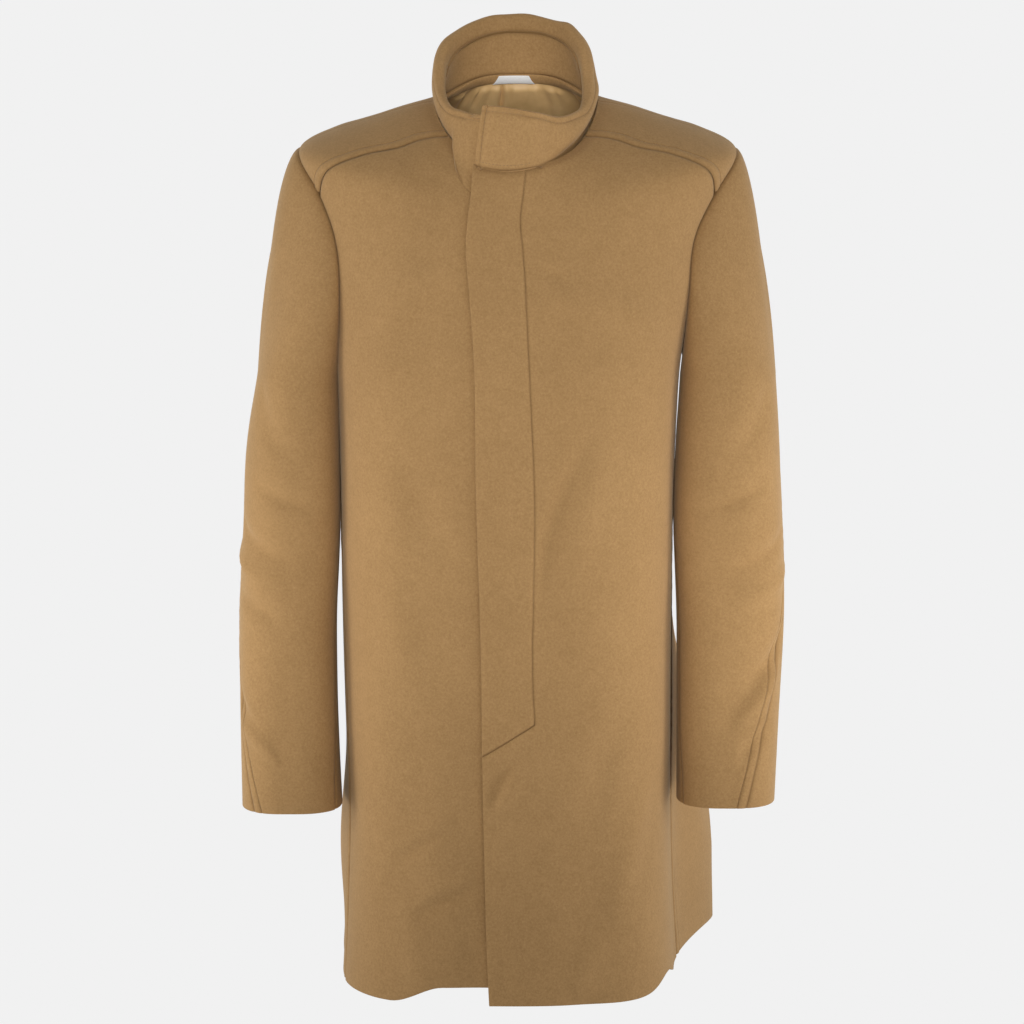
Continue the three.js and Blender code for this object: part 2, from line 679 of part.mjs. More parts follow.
function addCollarOuter() {
  const last = collarTurns[collarSteps];
  const grid = collarTurns.map((turn) => {
    const row = collarRow(turn);
    const profile = collarProfile(row);
    const endness = softStep(tabSpan.to, last, turn);
    return profileSpots(profile, row.angle).map((spot) => {
      spot.point.x += endness * collarTabSlant * (spot.point.z - row.seamZ) / (row.rimZ - row.seamZ);
      return spot;
    });
  });
  addPiece('collar_outer', wall(grid, collarWall), wool);
}

function addCollarInner() {
  const turns = collarTurns.slice(innerCollarSteps.from, innerCollarSteps.to + 1);
  const grid = turns.map((turn) => {
    const row = collarRow(turn);
    const topRadius = row.rimRadius - row.roll;
    const topZ = row.rimZ - row.drop - seamGap;
    const fall = 2;
    const footRadius = row.seamRadius - liningInset;
    const footZ = row.seamZ + 0.5;
    const profile = [
      [topRadius, topZ],
      [topRadius, topZ - fall],
      [mix(topRadius, footRadius, 0.6), mix(topZ, footZ, 0.6)],
      [footRadius, footZ],
    ];
    return profileSpots(profile, row.angle);
  });
  addPiece('collar_inner', wall(grid, innerCollarWall), wool);
}

// Band inside the neck, on the body's own surface moved in, between two levels
function insideGrid(fromAngle, toAngle, columns, rows, levelAt, inset, ripple) {
  return steps(0, 1, rows).map((v) => steps(fromAngle, toAngle, columns).map((angle) => {
    const level = levelAt(angle, v);
    const spot = bodySpot({ angle, level }, -inset);
    spot.point.addScaledVector(spot.normal, -ripple(angle, v));
    spot.normal.negate();
    return spot;
  }));
}

const facingFoot = neckLevel - 1 - facingWidth;
const liningPleats = table('angle halfWidth depth', [
  [196, 3.2, 4], [208, 4, 5], [222, 4, 3.5], [168, 3.5, 3], [152, 4, 4], [138, 4, 3],
]);

function addInside() {
  const plain = () => 0;
  const facingTop = neckLevel + facingRise;
  const facingLevel = (angle, v) => mix(facingFoot, facingTop, v);
  const facing = insideGrid(70, 290, 26, 1, facingLevel, liningInset + 1.8, plain);
  addPiece('neck_facing', wall(facing, facingWall), wool);
  const liningLow = (angle) => {
    const off = Math.abs(angle - 180);
    return mix(liningSideLevel, -liningDepth, softStep(66, 36, off));
  };
  const pleat = (angle, v) => liningPleats.reduce((sum, fold) => {
    const off = (angle - fold.angle) / fold.halfWidth;
    return sum + fold.depth * Math.exp(-off * off) * softStep(0, 0.12, 1 - v);
  }, 0);
  const level = (angle, v) => mix(liningLow(angle), facingFoot - 0.5, v ** 0.8);
  const lining = insideGrid(58, 302, 61, 5, level, liningInset + 1.2, pleat);
  addPiece('lining_back', wall(lining, liningWall), satin);
  const labelTurn = THREE.MathUtils.radToDeg(Math.atan2(labelSize.width / 2, labelSize.radius));
  const middle = 180 - THREE.MathUtils.radToDeg(Math.atan2(labelSize.centreX, labelSize.radius));
  const labelLow = (angle, v) => neckLevel - labelSize.below - labelSize.height * (1 - v);
  const label = insideGrid(middle - labelTurn, middle + labelTurn, 4, 1, labelLow, liningInset + 2.9, plain);
  addPiece('label', wall(label, labelWall), paperWhite);
}

addFrontRight();
addFrontLeft();
addPlacket();
addYoke('right');
addYoke('left');
addBack();
addSleeve('right');
addSleeve('left');
addCollarOuter();
addCollarInner();
addInside();

export default coat;
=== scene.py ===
import math
import random

import bmesh
import bpy
import numpy as np
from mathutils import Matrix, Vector


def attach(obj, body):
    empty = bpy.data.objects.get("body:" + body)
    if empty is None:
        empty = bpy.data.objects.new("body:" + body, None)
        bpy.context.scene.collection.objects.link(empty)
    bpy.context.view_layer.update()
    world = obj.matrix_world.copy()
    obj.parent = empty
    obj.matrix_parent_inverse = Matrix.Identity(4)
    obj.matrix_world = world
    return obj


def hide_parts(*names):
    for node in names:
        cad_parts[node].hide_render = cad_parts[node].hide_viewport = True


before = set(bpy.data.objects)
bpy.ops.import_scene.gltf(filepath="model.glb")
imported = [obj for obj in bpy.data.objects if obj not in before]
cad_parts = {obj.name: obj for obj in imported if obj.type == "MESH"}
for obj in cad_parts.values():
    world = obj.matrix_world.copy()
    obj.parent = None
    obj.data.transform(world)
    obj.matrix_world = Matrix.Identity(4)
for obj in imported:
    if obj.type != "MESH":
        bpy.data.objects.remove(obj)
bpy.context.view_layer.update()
print("frame loaded")

mm = 0.001
scene = bpy.context.scene

# The camera looks at the front from head height, tipped a little down
cameraPlace = {"location": (-0.006, -3.2, 0.170), "tip": 80, "lens": 110.25, "sensor": 36}


def addCamera():
    camera = bpy.data.objects.new("camera", bpy.data.cameras.new("camera"))
    camera.location = cameraPlace["location"]
    camera.rotation_euler = (math.radians(cameraPlace["tip"]), 0, 0)
    camera.data.lens = cameraPlace["lens"]
    camera.data.sensor_width = cameraPlace["sensor"]
    scene.collection.objects.link(camera)
    scene.camera = camera


addCamera()

# Sizes that all the cloth shares
cloth = {
    "wall": 2.5, "liningWall": 1.2, "underLap": 5.2, "lapFrom": -50, "lapTo": -33,
    "pitch": 5.5, "round": 1.05, "seamDip": 1.3, "armholeDip": 0.25, "seamWidth": 2.2,
    "stitchInset": 10.0, "creaseStrength": 2.2,
}
cut = {
    "armpit": -225, "shoulder": -20, "neck": 118, "neckFrontZ": -31, "underEdge": 3.1,
    "underHemRise": 18, "placketRise": 7, "yokeNeckAngle": 50, "bendPower": 1.3,
}


# Rows of values under named columns, as one array a column
def table(columns, rows):
    return dict(zip(columns.split(), np.array(rows, float).T))


bodySections = table("level right left front back frontZ sideZ backZ square", [
    (-875, 184, 165, 158, 158, -875, -875, -864, 3.0),
    (-790, 179, 161, 155, 154, -790, -790, -790, 3.0),
    (-700, 176, 159, 152, 150, -700, -700, -700, 3.0),
    (-600, 179, 159, 149, 146, -600, -600, -600, 3.0),
    (-500, 181, 159, 146, 142, -500, -500, -500, 2.9),
    (-380, 182, 160, 142, 138, -380, -380, -380, 2.9),
    (-290, 184, 163, 141, 134, -290, -290, -290, 2.8),
    (-225, 187, 168, 140, 131, -226, -225, -222, 2.7),
    (-193, 189, 175, 137, 130, -198, -193, -186, 2.6),
    (-150, 194, 185, 134, 128, -166, -150, -140, 2.45),
    (-93, 202, 194, 127, 121, -128, -93, -82, 2.3),
    (-53, 213, 211, 121, 113, -102, -53, -44, 2.2),
    (-20, 222, 222, 116, 105, -84, -20, -15, 2.1),
    (12, 190, 190, 113, 97, -71, 0, 6, 2.05),
    (34, 168, 168, 111, 92, -63, 9, 18, 2.0),
    (62, 140, 140, 109, 86, -53, 19, 31, 2.0),
    (85, 117, 117, 107, 81, -45, 26, 40, 2.0),
    (105, 97, 96, 105, 77, -36, 31, 47, 2.0),
    (118, 85, 81, 103, 74, -31, 34, 52, 2.0),
    (132, 84, 80, 105, 74, -17, 48, 66, 2.0),
])

# Large folds: depth is outwards, width in degrees, and hem is 1 where a fold is open at the hem
bodyFolds = table("topAngle topLevel lowAngle lowLevel width depth hem", [
    (120, -420, 125, -875, 20, 74, 1),
    (-118, -480, -122, -875, 17, 14, 1),
    (166, -190, 162, -875, 9, -7, 1),
    (-158, -230, -154, -875, 9, -8, 1),
    (183, -260, 181, -875, 8, 6, 1),
    (31, -250, 2, -640, 8, -3, 0),
    (-32, -560, -30, -875, 10, 5, 1),
    (24, -640, 26, -875, 9, -4, 1),
    (-92, -610, -90, -860, 16, 9, 0),
])

frontEdgeLine = table("z x", [
    (-880, -29), (-806, -32), (-721, -34), (-618, -36), (-546, -36.6), (-456, -38.5),
    (-406, -40.3), (-329, -42), (-234, -43), (-159, -47.6), (-104, -51.5), (-49, -45.5), (-20, -44),
])
flyStitchLine = table("z x", [
    (-585, 17), (-528, 14.4), (-425, 16.3), (-348, 16.2), (-272, 13), (-162, 7.9),
    (-123, 5.9), (-99, 3.5), (-69, 2.5), (-49, 6.8), (-20, 8),
])
flyFoot = {"x": (-36, 17), "z": (-618, -585), "steps": 3}

rowLevels = [
    -875, -835, -790, -745, -700, -660, -628, -613, -598, -582, -545, -500, -455, -410, -365,
    -320, -285, -252, -225,
]
edgeHeights = [-880, -840, -795, -750, -705, -660, -618]
flyHeights = [
    -585, -548, -502, -456, -410, -365, -320, -285, -252, -222, -194, -166, -138, -110, -82, -56,
]
sideSeams = {
    "right": table("level angle", [(-875, 70), (-700, 70), (-450, 75), (-225, 90)]),
    "left": table("level angle", [(-875, 92), (-700, 85), (-450, 87), (-225, 90)]),
}
yokeSeam = table("step angle level", [
    (0.0, 76.5, -53.7), (0.2, 71, -22), (0.4, 65, 22), (0.6, 60, 52), (0.8, 57, 85), (1.0, 50, 118),
])
armhole = {
    "steps": 30, "frontWidth": 20, "backWidth": 20, "hollow": 0.18, "yokeStep": 4,
    "backReach": 0.75, "backRise": 0.4, "gap": 0.3, "mmPerDegree": 3.3,
}

sleeveSections = {
    "right": table("down outer inner centreY halfY elbow", [
        (245, 266, 190.5, 0, 75, -52), (300, 274, 189.5, -3, 73, -42), (381, 281, 188.5, -10, 69, -24),
        (487, 287, 188, -22, 62, -2), (600, 286.5, 186.5, -37, 54, 25), (691, 285, 182, -50, 47, 46),
    ]),
    "left": table("down outer inner centreY halfY elbow", [
        (245, 264, 172.5, 0, 75, -52), (300, 268, 168.5, -3, 73, -34), (381, 272, 165.5, -10, 69, -8),
        (487, 275, 165, -22, 62, 24), (600, 269.5, 165, -37, 54, 50), (685, 265.5, 164.5, -50, 47, 68),
    ]),
}
# right and left are the swell of each cap, and lean moves the front of the inner side inwards
sleeve = {
    "right": 12, "left": 9, "lift": 0.1, "turnIn": 2.4, "square": 2.6, "lean": 12, "leanAt": 122,
    "leanWidth": 48, "elbowAtArmhole": -62, "foreSeam": 150,
}
sleeveFolds = {
    "right": table("angle z halfAngle halfHeight slant depth", [
        (95, -430, 40, 34, 0.2, -5), (30, -330, 34, 60, 0, 3), (262, -450, 45, 30, -0.2, -5),
    ]),
    "left": table("angle z halfAngle halfHeight slant depth", [
        (100, -440, 40, 34, 0.2, -5), (70, -560, 30, 34, -0.5, -5), (262, -450, 45, 30, -0.2, -5),
    ]),
}

collarSections = table("turn hang rimZ roll drop", [
    (-6, 0, 15, 6, 6), (20, 0, 17, 6, 6), (35, 0, 21, 7, 7), (53, 0, 29, 9, 8), (70, 0, 45, 11, 11),
    (90, 0, 68, 13, 15), (120, 0, 95, 14, 17), (150, 0, 110, 14, 18), (180, 0, 115, 14, 19),
    (210, 0, 110, 14, 18), (240, 0, 95, 14, 17), (270, 0, 67, 13, 15), (290, 0, 43, 11, 11),
    (307, 0, 27, 9, 8), (320, 0, 21, 7, 7), (337, 0, 17, 6, 6), (350, 1.5, 22, 6, 6),
    (366, 4.5, 27, 6, 6), (383, 6, 29, 6, 6),
])
collar = {
    "right": 86, "left": 77, "front": 108, "back": 80, "gap": 0.4, "wall": 2.2, "innerWall": 1.9,
    "tabFrom": 342, "tabTo": 353, "tabEnd": 383, "tabLift": 6.2, "tabEndLift": 3, "tabSlant": 9,
    "bow": 1.5, "innerFrom": 12, "innerTo": 338, "inset": 5.5, "stitchInset": 5,
    "groove": 1.1,
}
# The right end of the collar runs down on the front, until it goes under the fly strip
collarFoot = {"fall": 36, "free": (47, 21), "under": (8, 20), "lift": 2, "flatter": 5}
# On the left the foot of the collar is tucked under its own fall, with a painted shadow shadeWidth wide
# along its foot
collarTuck = {
    "from": (262, 285), "to": (345, 325), "swell": 3.2, "swellAt": 17, "swellWidth": 8,
    "dip": 3.6, "dipWidth": 6, "shadeWidth": 8,
}
# The roll's sharper corner behind the left side, with a hollow beside it
rimCorner = table("height turn width", [(2.4, 226, 8), (-1.4, 205, 16)])


def softStep(start, end, value):
    f = np.clip((value - start) / (end - start), 0, 1)
    return f * f * (3 - 2 * f)


def mix(a, b, f):
    return a + (b - a) * f


def bell(value, width):
    return np.exp(-(value / width) ** 2)


# Smooth curve through one column of a table, by cubic pieces with averaged slopes
def along(rows, key, column, at):
    x, y = rows[key], rows[column]
    at = np.clip(np.asarray(at, float), x[0], x[-1])
    i = np.clip(np.searchsorted(x, at) - 1, 0, len(x) - 2)
    slope = np.diff(y) / np.diff(x)
    before = slope[np.maximum(i - 1, 0)]
    after = slope[np.minimum(i + 1, len(slope) - 1)]
    into, out = (before + slope[i]) / 2, (after + slope[i]) / 2
    span = x[i + 1] - x[i]
    f = (at - x[i]) / span
    f2, f3 = f * f, f * f * f
    return ((2 * f3 - 3 * f2 + 1) * y[i] + (f3 - 2 * f2 + f) * span * into
            + (3 * f2 - 2 * f3) * y[i + 1] + (f3 - f2) * span * out)


def angleBetween(a, b):
    return (a - b + 540) % 360 - 180


def foldDepth(angle, level):
    depth = 0
    for top, topLevel, low, lowLevel, width, height, hem in zip(*bodyFolds.values()):
        f = (topLevel - level) / (topLevel - lowLevel)
        inside = (f > 0) & (f < 1.001)
        swell = softStep(0, 0.8, f) if hem else np.sin(np.pi * np.clip(f, 0, 1)) ** 2
        off = bell(angleBetween(angle, mix(top, low, f)), width)
        depth = depth + np.where(inside, height * swell * off, 0)
    return depth


def ovalRadius(angle, right, left, front, back, square):
    s, c = np.sin(np.radians(angle)), np.cos(np.radians(angle))
    wide = np.abs(s) / np.where(s > 0, left, right)
    deep = np.abs(c) / np.where(c > 0, front, back)
    return (wide ** square + deep ** square) ** (-1 / square)


# The shoulders fall a little behind the ridge, beside the neck
shoulderHollow = {"angle": 116, "width": 26, "depth": 12}


# Point of the body. Angle 0 is in front, 90 on the wearer's left.
def bodySurface(angle, level):
    angle, level = np.asarray(angle, float), np.asarray(level, float)
    right, left, front, back, frontZ, sideZ, backZ, square = (
        along(bodySections, "level", name, level) for name in list(bodySections)[1:])
    radius = ovalRadius(angle, right, left, front, back, square) + foldDepth(angle, level)
    turn = np.radians(angle)
    mean = (frontZ + 2 * sideZ + backZ) / 4
    z = mean + (frontZ - backZ) / 2 * np.cos(turn) + (frontZ - 2 * sideZ + backZ) / 4 * np.cos(2 * turn)
    fromHollow = np.abs(angleBetween(angle, 0)) - shoulderHollow["angle"]
    z = z - shoulderHollow["depth"] * bell(fromHollow, shoulderHollow["width"]) * softStep(-20, 65, level)
    return np.stack([radius * np.sin(turn), -radius * np.cos(turn), z + 0 * turn], -1)


# Angle and level of a point of the front given by its x and z
def onFront(x, z):
    angle, level = 0 * x + 0.0, z + 0.0
    for _ in range(12):
        point = bodySurface(angle, level)
        angle = np.degrees(np.arctan2(x, -point[..., 1]))
        level = np.clip(level + z - point[..., 2], rowLevels[0], 132)
    return np.stack([angle, level], -1)


def onLine(line, z):
    z = np.asarray(z, float)
    return onFront(along(line, "z", "x", z), z)


def armholePlace(side, turn, inset=0):
    half = (cut["shoulder"] - cut["armpit"]) / 2 - inset
    s, c = np.sin(np.radians(turn)), np.cos(np.radians(turn))
    narrow = inset / armhole["mmPerDegree"]
    front = -(armhole["frontWidth"] - narrow) * s * (1 - armhole["hollow"] * c)
    back = (armhole["backWidth"] - narrow) * np.maximum(-s, 0) ** armhole["backReach"]
    height = np.where((s < -1e-9) & (c > 0), np.maximum(c, 0) ** armhole["backRise"], c)
    middle = (cut["shoulder"] + cut["armpit"]) / 2
    return np.stack([side * (90 + np.where(s > 0, front, back)), middle + half * height], -1)


# Places along a run, from one armhole step, level or angle to another
def armholeRun(side, start, end):
    steps = np.linspace(start, end, abs(end - start) + 1)
    return armholePlace(side, 360 * steps / armhole["steps"])


def neckRun(start, end, count):
    return np.stack([np.linspace(start, end, count + 1), np.full(count + 1, cut["neck"])], -1)


def seamRun(hand):
    level = np.array(rowLevels, float)
    side = -1 if hand == "right" else 1
    return np.stack([side * along(sideSeams[hand], "level", "angle", level), level], -1)


# Place on a run made of smooth stretches that share their end nodes, at a node number with parts
def runAt(stretches, at):
    at = np.asarray(at, float)
    place = np.zeros(at.shape + (2,))
    first = 0
    for nodes in stretches:
        last = first + len(nodes) - 1
        inside = (at >= first) & (at <= last)
        numbered = {"step": np.arange(len(nodes)) + first}
        for axis in (0, 1):
            numbered["value"] = nodes[:, axis]
            place[inside, axis] = along(numbered, "step", "value", at[inside])
        first = last
    return place


def lengthAlong(points, axis):
    step = np.linalg.norm(np.diff(points, axis=axis), axis=-1)
    start = np.zeros_like(np.take(step, [0], axis))
    return np.concatenate([start, np.cumsum(step, axis)], axis)


# Distances of the lines of a mesh from a seam with stitching, a plain seam and a free edge
lineStops = {
    "stitched": [0, 1.2, 2.4, 4.0, 6.2, 8.2, 9.0, 9.5, 10, 10.5, 11, 11.8, 13.5, 17, 21.5],
    "seam": [0, 1.2, 2.4, 3.8, 6, 9.5, 14],
    "free": [0, 1.6, 3.4, 6, 10, 15],
}


# Fractions across each row of a grid that put its lines at these distances from both ends
def spread(surface, place, rows, startKind, endKind, pitch=cloth["pitch"]):
    probe = np.tile(np.linspace(0, 1, 81), (rows, 1))
    length = lengthAlong(surface(*place(probe)), 1)
    start, end = np.array(lineStops[startKind]), np.array(lineStops[endKind])[::-1]
    widest = length[:, -1].max()
    middle = max(2, round((widest - start[-1] - end[0]) / pitch))
    fractions = []
    for row in length:
        total = row[-1]
        squeeze = min(1, 0.7 * total / (start[-1] + end[0]))
        inner = np.linspace(start[-1] * squeeze, total - end[0] * squeeze, middle + 1)[1:-1]
        wanted = np.concatenate([start * squeeze, inner, total - end * squeeze])
        fractions.append(np.interp(wanted, row, probe[0]))
    return np.array(fractions)


# Outward normals of a grid. sign is 1 where columns x rows faces outwards, else -1.
def gridNormals(points, sign):
    normal = np.cross(np.gradient(points, axis=1), np.gradient(points, axis=0)) * sign
    return normal / np.maximum(np.linalg.norm(normal, axis=-1, keepdims=True), 1e-9)


# Soft ridges and troughs on a chart of two lengths. depth is outwards and bow bends the line.
def creaseDepth(creases, x, y):
    depth = 0
    for x0, y0, x1, y1, width, height, bow in zip(*creases.values()):
        dx, dy = x1 - x0, y1 - y0
        length = math.hypot(dx, dy)
        f = ((x - x0) * dx + (y - y0) * dy) / length ** 2
        off = ((x - x0) * dy - (y - y0) * dx) / length - bow * 4 * f * (1 - f)
        fade = np.sin(np.pi * np.clip(f, 0, 1)) ** 0.8
        narrow = width * (0.55 + 0.45 * fade)
        depth = depth + cloth["creaseStrength"] * height * fade * bell(off, narrow)
    return depth


fullTurn = 6.283


# Slow uneven waves of hanging cloth, from a few crossing sines with seeded phases
def softWaves(x, y, height, seed):
    picker = random.Random(seed)
    total = 0
    for length in (240, 170, 120, 85, 60):
        lean = picker.uniform(-0.5, 0.5)
        shift = picker.uniform(0, 6.3)
        wander = 0.8 * np.sin(y / 90 + picker.uniform(0, 6.3))
        across = x * math.cos(lean) + y * math.sin(lean) * 0.5
        total = total + math.sqrt(length / 240) * np.sin(fullTurn * across / length + shift + wander)
    return height * total / 3


# Creases lie on a chart: angle in mm and level for the body, turn in mm and height for a sleeve
mmPerDegree = {"body": 2.75, "sleeve": 1.05}
creaseColumns = "x0 y0 x1 y1 width depth bow"
frontCreases = table(creaseColumns, [
    (-62, -682, -118, -722, 5.5, 2.2, 3), (-70, -692, -124, -735, 8, -1.6, 3),
    (-40, -742, -104, -780, 6, 1.9, 4), (-46, -752, -100, -792, 9, -1.5, 4),
    (-86, -822, -54, -816, 6, 1.2, 5), (-4, -624, -30, -672, 6, -1.8, 3),
    (6, -630, -18, -676, 7, 1.6, 3), (30, -706, 6, -734, 8, -1.2, 2),
    (74, -300, 22, -480, 13, -2.4, 8), (98, -290, 52, -470, 16, 1.8, 8),
    (-120, -300, -60, -430, 20, -1.3, 10), (-130, -420, -86, -590, 18, 1.4, 8),
    (120, -560, 70, -700, 16, -1.5, 8), (140, -640, 96, -800, 14, 1.5, 6),
    (36, -150, 92, -240, 16, -1.4, -8), (-70, -120, -128, -220, 15, -1.4, 8),
    (-88, -100, -150, -180, 12, 1.0, 8), (22, -96, 62, -130, 9, -1.0, -6),
    (96, -140, 150, -210, 12, 1.2, -6), (84, -800, 60, -872, 16, 1.8, 4),
    (-110, -760, -96, -870, 18, 1.8, -4), (-20, -800, -14, -872, 14, 1.0, 3),
])
backCreases = table(creaseColumns, [
    (400, -120, 470, -260, 16, -2.2, 10), (590, -120, 520, -250, 17, -2.4, -10),
    (330, -170, 380, -330, 15, 1.8, 10), (650, -180, 606, -340, 15, 1.8, -8),
    (430, -300, 560, -320, 12, -1.5, 8), (420, -360, 500, -390, 10, 1.4, 6),
    (460, -420, 440, -640, 14, -2, 8), (540, -400, 556, -660, 15, -2.2, -8),
    (300, -520, 320, -780, 13, -2, 5), (380, -560, 396, -800, 12, 1.8, -5),
    (600, -520, 620, -790, 14, -2, -6), (486, -640, 492, -872, 12, 2, 4),
    (444, -40, 500, -30, 10, -1.0, 6), (360, -60, 420, -90, 12, 1.2, 6),
])
bothSleeveCreases = [
    (60, -350, 120, -380, 8, -1.8, 4), (-20, -300, 20, -350, 10, -1.2, 4), (0, -120, 20, -250, 12, 1.2, 5),
    (60, -250, 90, -330, 10, -1.8, 4), (250, -400, 300, -440, 9, -2.2, 4),
    (240, -450, 296, -470, 8, 1.9, -4),
    (230, -500, 290, -540, 9, -1.9, 4), (200, -320, 250, -380, 10, -1.8, 4),
    (220, -600, 270, -640, 9, 1.5, 4),
]
sleeveCreases = {
    "right": table(creaseColumns, bothSleeveCreases + [
        (20, -390, 96, -430, 9, -2.4, 5), (10, -420, 84, -452, 8, 1.9, 4),
        (24, -468, 92, -496, 9, -2.0, -4),
        (10, -560, 60, -600, 9, -1.6, 4), (30, -600, 84, -640, 8, 1.5, -4),
    ]),
    "left": table(creaseColumns, bothSleeveCreases + [
        (30, -405, 100, -440, 9, -2.2, 5), (16, -440, 90, -470, 8, 1.8, 4),
        (26, -500, 80, -560, 10, -2.4, 6),
        (36, -540, 90, -600, 9, 2.0, 5), (44, -600, 84, -640, 9, -1.8, -4),
    ]),
}


# One number inside a shader, so that sums read as sums
class Value:
    def __init__(self, shader, socket):
        self.shader, self.socket = shader, socket

    def operate(self, operation, *others):
        node = self.shader.tree.nodes.new("ShaderNodeMath")
        node.operation = operation
        for socket, item in zip(node.inputs, others):
            self.shader.feed(socket, item)
        return Value(self.shader, node.outputs[0])

    def __add__(self, other):
        return self.operate("ADD", self, other)

    def __radd__(self, other):
        return self.operate("ADD", other, self)

    def __mul__(self, other):
        return self.operate("MULTIPLY", self, other)

    def __rmul__(self, other):
        return self.operate("MULTIPLY", other, self)


class Shader:
    def __init__(self, name):
        self.material = bpy.data.materials.new(name)
        self.material.use_nodes = True
        self.tree = self.material.node_tree
        self.tree.nodes.clear()
        self.coordinates = self.add("ShaderNodeTexCoord").outputs["Object"]

    # Adds a node with its settings and what feeds its sockets
    def add(self, kind, settings=None, values=None):
        node = self.tree.nodes.new(kind)
        for key, value in (settings or {}).items():
            setattr(node, key, value)
        for key, value in (values or {}).items():
            self.feed(node.inputs[key], value)
        return node

    def feed(self, socket, item):
        if isinstance(item, Value):
            item = item.socket
        if isinstance(item, bpy.types.NodeSocket):
            self.tree.links.new(item, socket)
        else:
            socket.default_value = item

    def stretched(self, scale):
        values = {0: self.coordinates, 1: scale}
        return self.add("ShaderNodeVectorMath", {"operation": "MULTIPLY"}, values).outputs[0]

    def noise(self, scale, detail=3, roughness=0.55, vector=None):
        values = {"Vector": vector or self.coordinates, "Scale": scale}
        values.update({"Detail": detail, "Roughness": roughness})
        return Value(self, self.add("ShaderNodeTexNoise", None, values).outputs[0])

    def attribute(self, name):
        return Value(self, self.add("ShaderNodeAttribute", {"attribute_name": name}).outputs["Fac"])

    def ramp(self, value, low, high):
        values = {"Value": value, "From Min": low, "From Max": high}
        return Value(self, self.add("ShaderNodeMapRange", {"clamp": True}, values).outputs[0])

    def blend(self, factor, a, b, kind="MIX"):
        node = self.add("ShaderNodeMix", {"data_type": "RGBA", "blend_type": kind})
        self.feed(node.inputs[0], factor)
        self.feed(node.inputs[6], a)
        self.feed(node.inputs[7], b)
        return node.outputs[2]

    def bump(self, height, strength, distance):
        values = {"Height": height, "Strength": strength, "Distance": distance}
        return self.add("ShaderNodeBump", None, values).outputs[0]

    def surface(self, values):
        shader = self.add("ShaderNodeBsdfPrincipled", None, values)
        output = self.add("ShaderNodeOutputMaterial")
        self.tree.links.new(shader.outputs[0], output.inputs[0])
        return self.material


# Napped wool: blended fibre tones, soft mottling, fine fuzz, and painted shade along the seams, in the
# stitching grooves and under overlapping parts
woolLook = {
    "light": (0.425, 0.252, 0.104, 1), "deep": (0.300, 0.171, 0.066, 1), "fibre": (0.56, 0.365, 0.175, 1),
    "paintedShadeColour": (0.20, 0.110, 0.040, 1), "roughness": 0.86, "sheen": 0.28,
    "sheenTint": (0.95, 0.78, 0.55, 1), "bump": 0.42, "bumpDepth": 0.0007,
}


def woolMaterial(name, tone):
    look = woolLook
    s = Shader(name)
    nap = s.noise(420, 5, 0.72)
    fuzz = s.noise(1, 3, 0.6, s.stretched((1500, 1500, 420)))
    mottle = s.noise(95, 5, 0.6)
    patch = s.noise(16, 3, 0.5)
    tones = s.ramp(0.17 * mottle + 0.7 * nap + 0.13 * patch, 0.34, 0.66)
    colour = s.blend(tones, look["deep"], look["light"])
    colour = s.blend(s.ramp(fuzz, 0.60, 0.80) * 0.45, colour, look["fibre"])
    # painted shade: the "seam" attribute darkens the wool towards paintedShadeColour in seams, grooves and
    # under overlaps
    colour = s.blend(s.attribute("seam") * 0.75, colour, look["paintedShadeColour"])
    colour = s.blend(1.0, colour, (tone, tone, tone, 1), "MULTIPLY")
    height = nap * 0.55 + fuzz * 0.35 + mottle * 0.5
    return s.surface({
        "Base Color": colour, "Roughness": s.ramp(nap, 0.2, 0.8) * 0.1 + look["roughness"],
        "Specular IOR Level": 0.2, "Sheen Weight": look["sheen"], "Sheen Roughness": 0.45,
        "Sheen Tint": look["sheenTint"], "Normal": s.bump(height, look["bump"], look["bumpDepth"]),
    })


# Satin lining: smooth, with fine warp lines and soft colour clouds
def satinMaterial():
    s = Shader("lining satin")
    cloud = s.noise(30, 3)
    warp = s.noise(1, 2, 0.5, s.stretched((2600, 2600, 60)))
    colour = s.blend(s.ramp(cloud, 0.35, 0.65), (0.60, 0.375, 0.155, 1), (0.76, 0.50, 0.225, 1))
    return s.surface({
        "Base Color": colour, "Roughness": warp * 0.12 + 0.32, "Specular IOR Level": 0.3,
        "Sheen Weight": 0.1, "Normal": s.bump(warp, 0.12, 0.0002),
    })


def labelMaterial():
    s = Shader("label weave")
    warp = s.noise(1, 1, 0.5, s.stretched((3000, 3000, 500)))
    colour = s.blend(s.ramp(warp, 0.3, 0.7), (0.86, 0.85, 0.83, 1), (0.94, 0.93, 0.91, 1))
    return s.surface({"Base Color": colour, "Roughness": 0.6, "Normal": s.bump(warp, 0.2, 0.0002)})


def threadMaterial():
    s = Shader("thread")
    ply = s.noise(1400, 2)
    colour = s.blend(s.ramp(ply, 0.3, 0.7), (0.20, 0.122, 0.052, 1), (0.36, 0.235, 0.11, 1))
    return s.surface({"Base Color": colour, "Roughness": 0.7, "Normal": s.bump(ply, 0.3, 0.0002)})


materials = {
    "wool": woolMaterial("wool melton", 1.0),
    # painted light: the collar, its inner side and the neck facing get a copy of the wool made 4% lighter
    "wool_collar": woolMaterial("wool melton collar", 1.04),
    "lining": satinMaterial(),
    "label": labelMaterial(),
    "thread": threadMaterial(),
}
print("materials made")


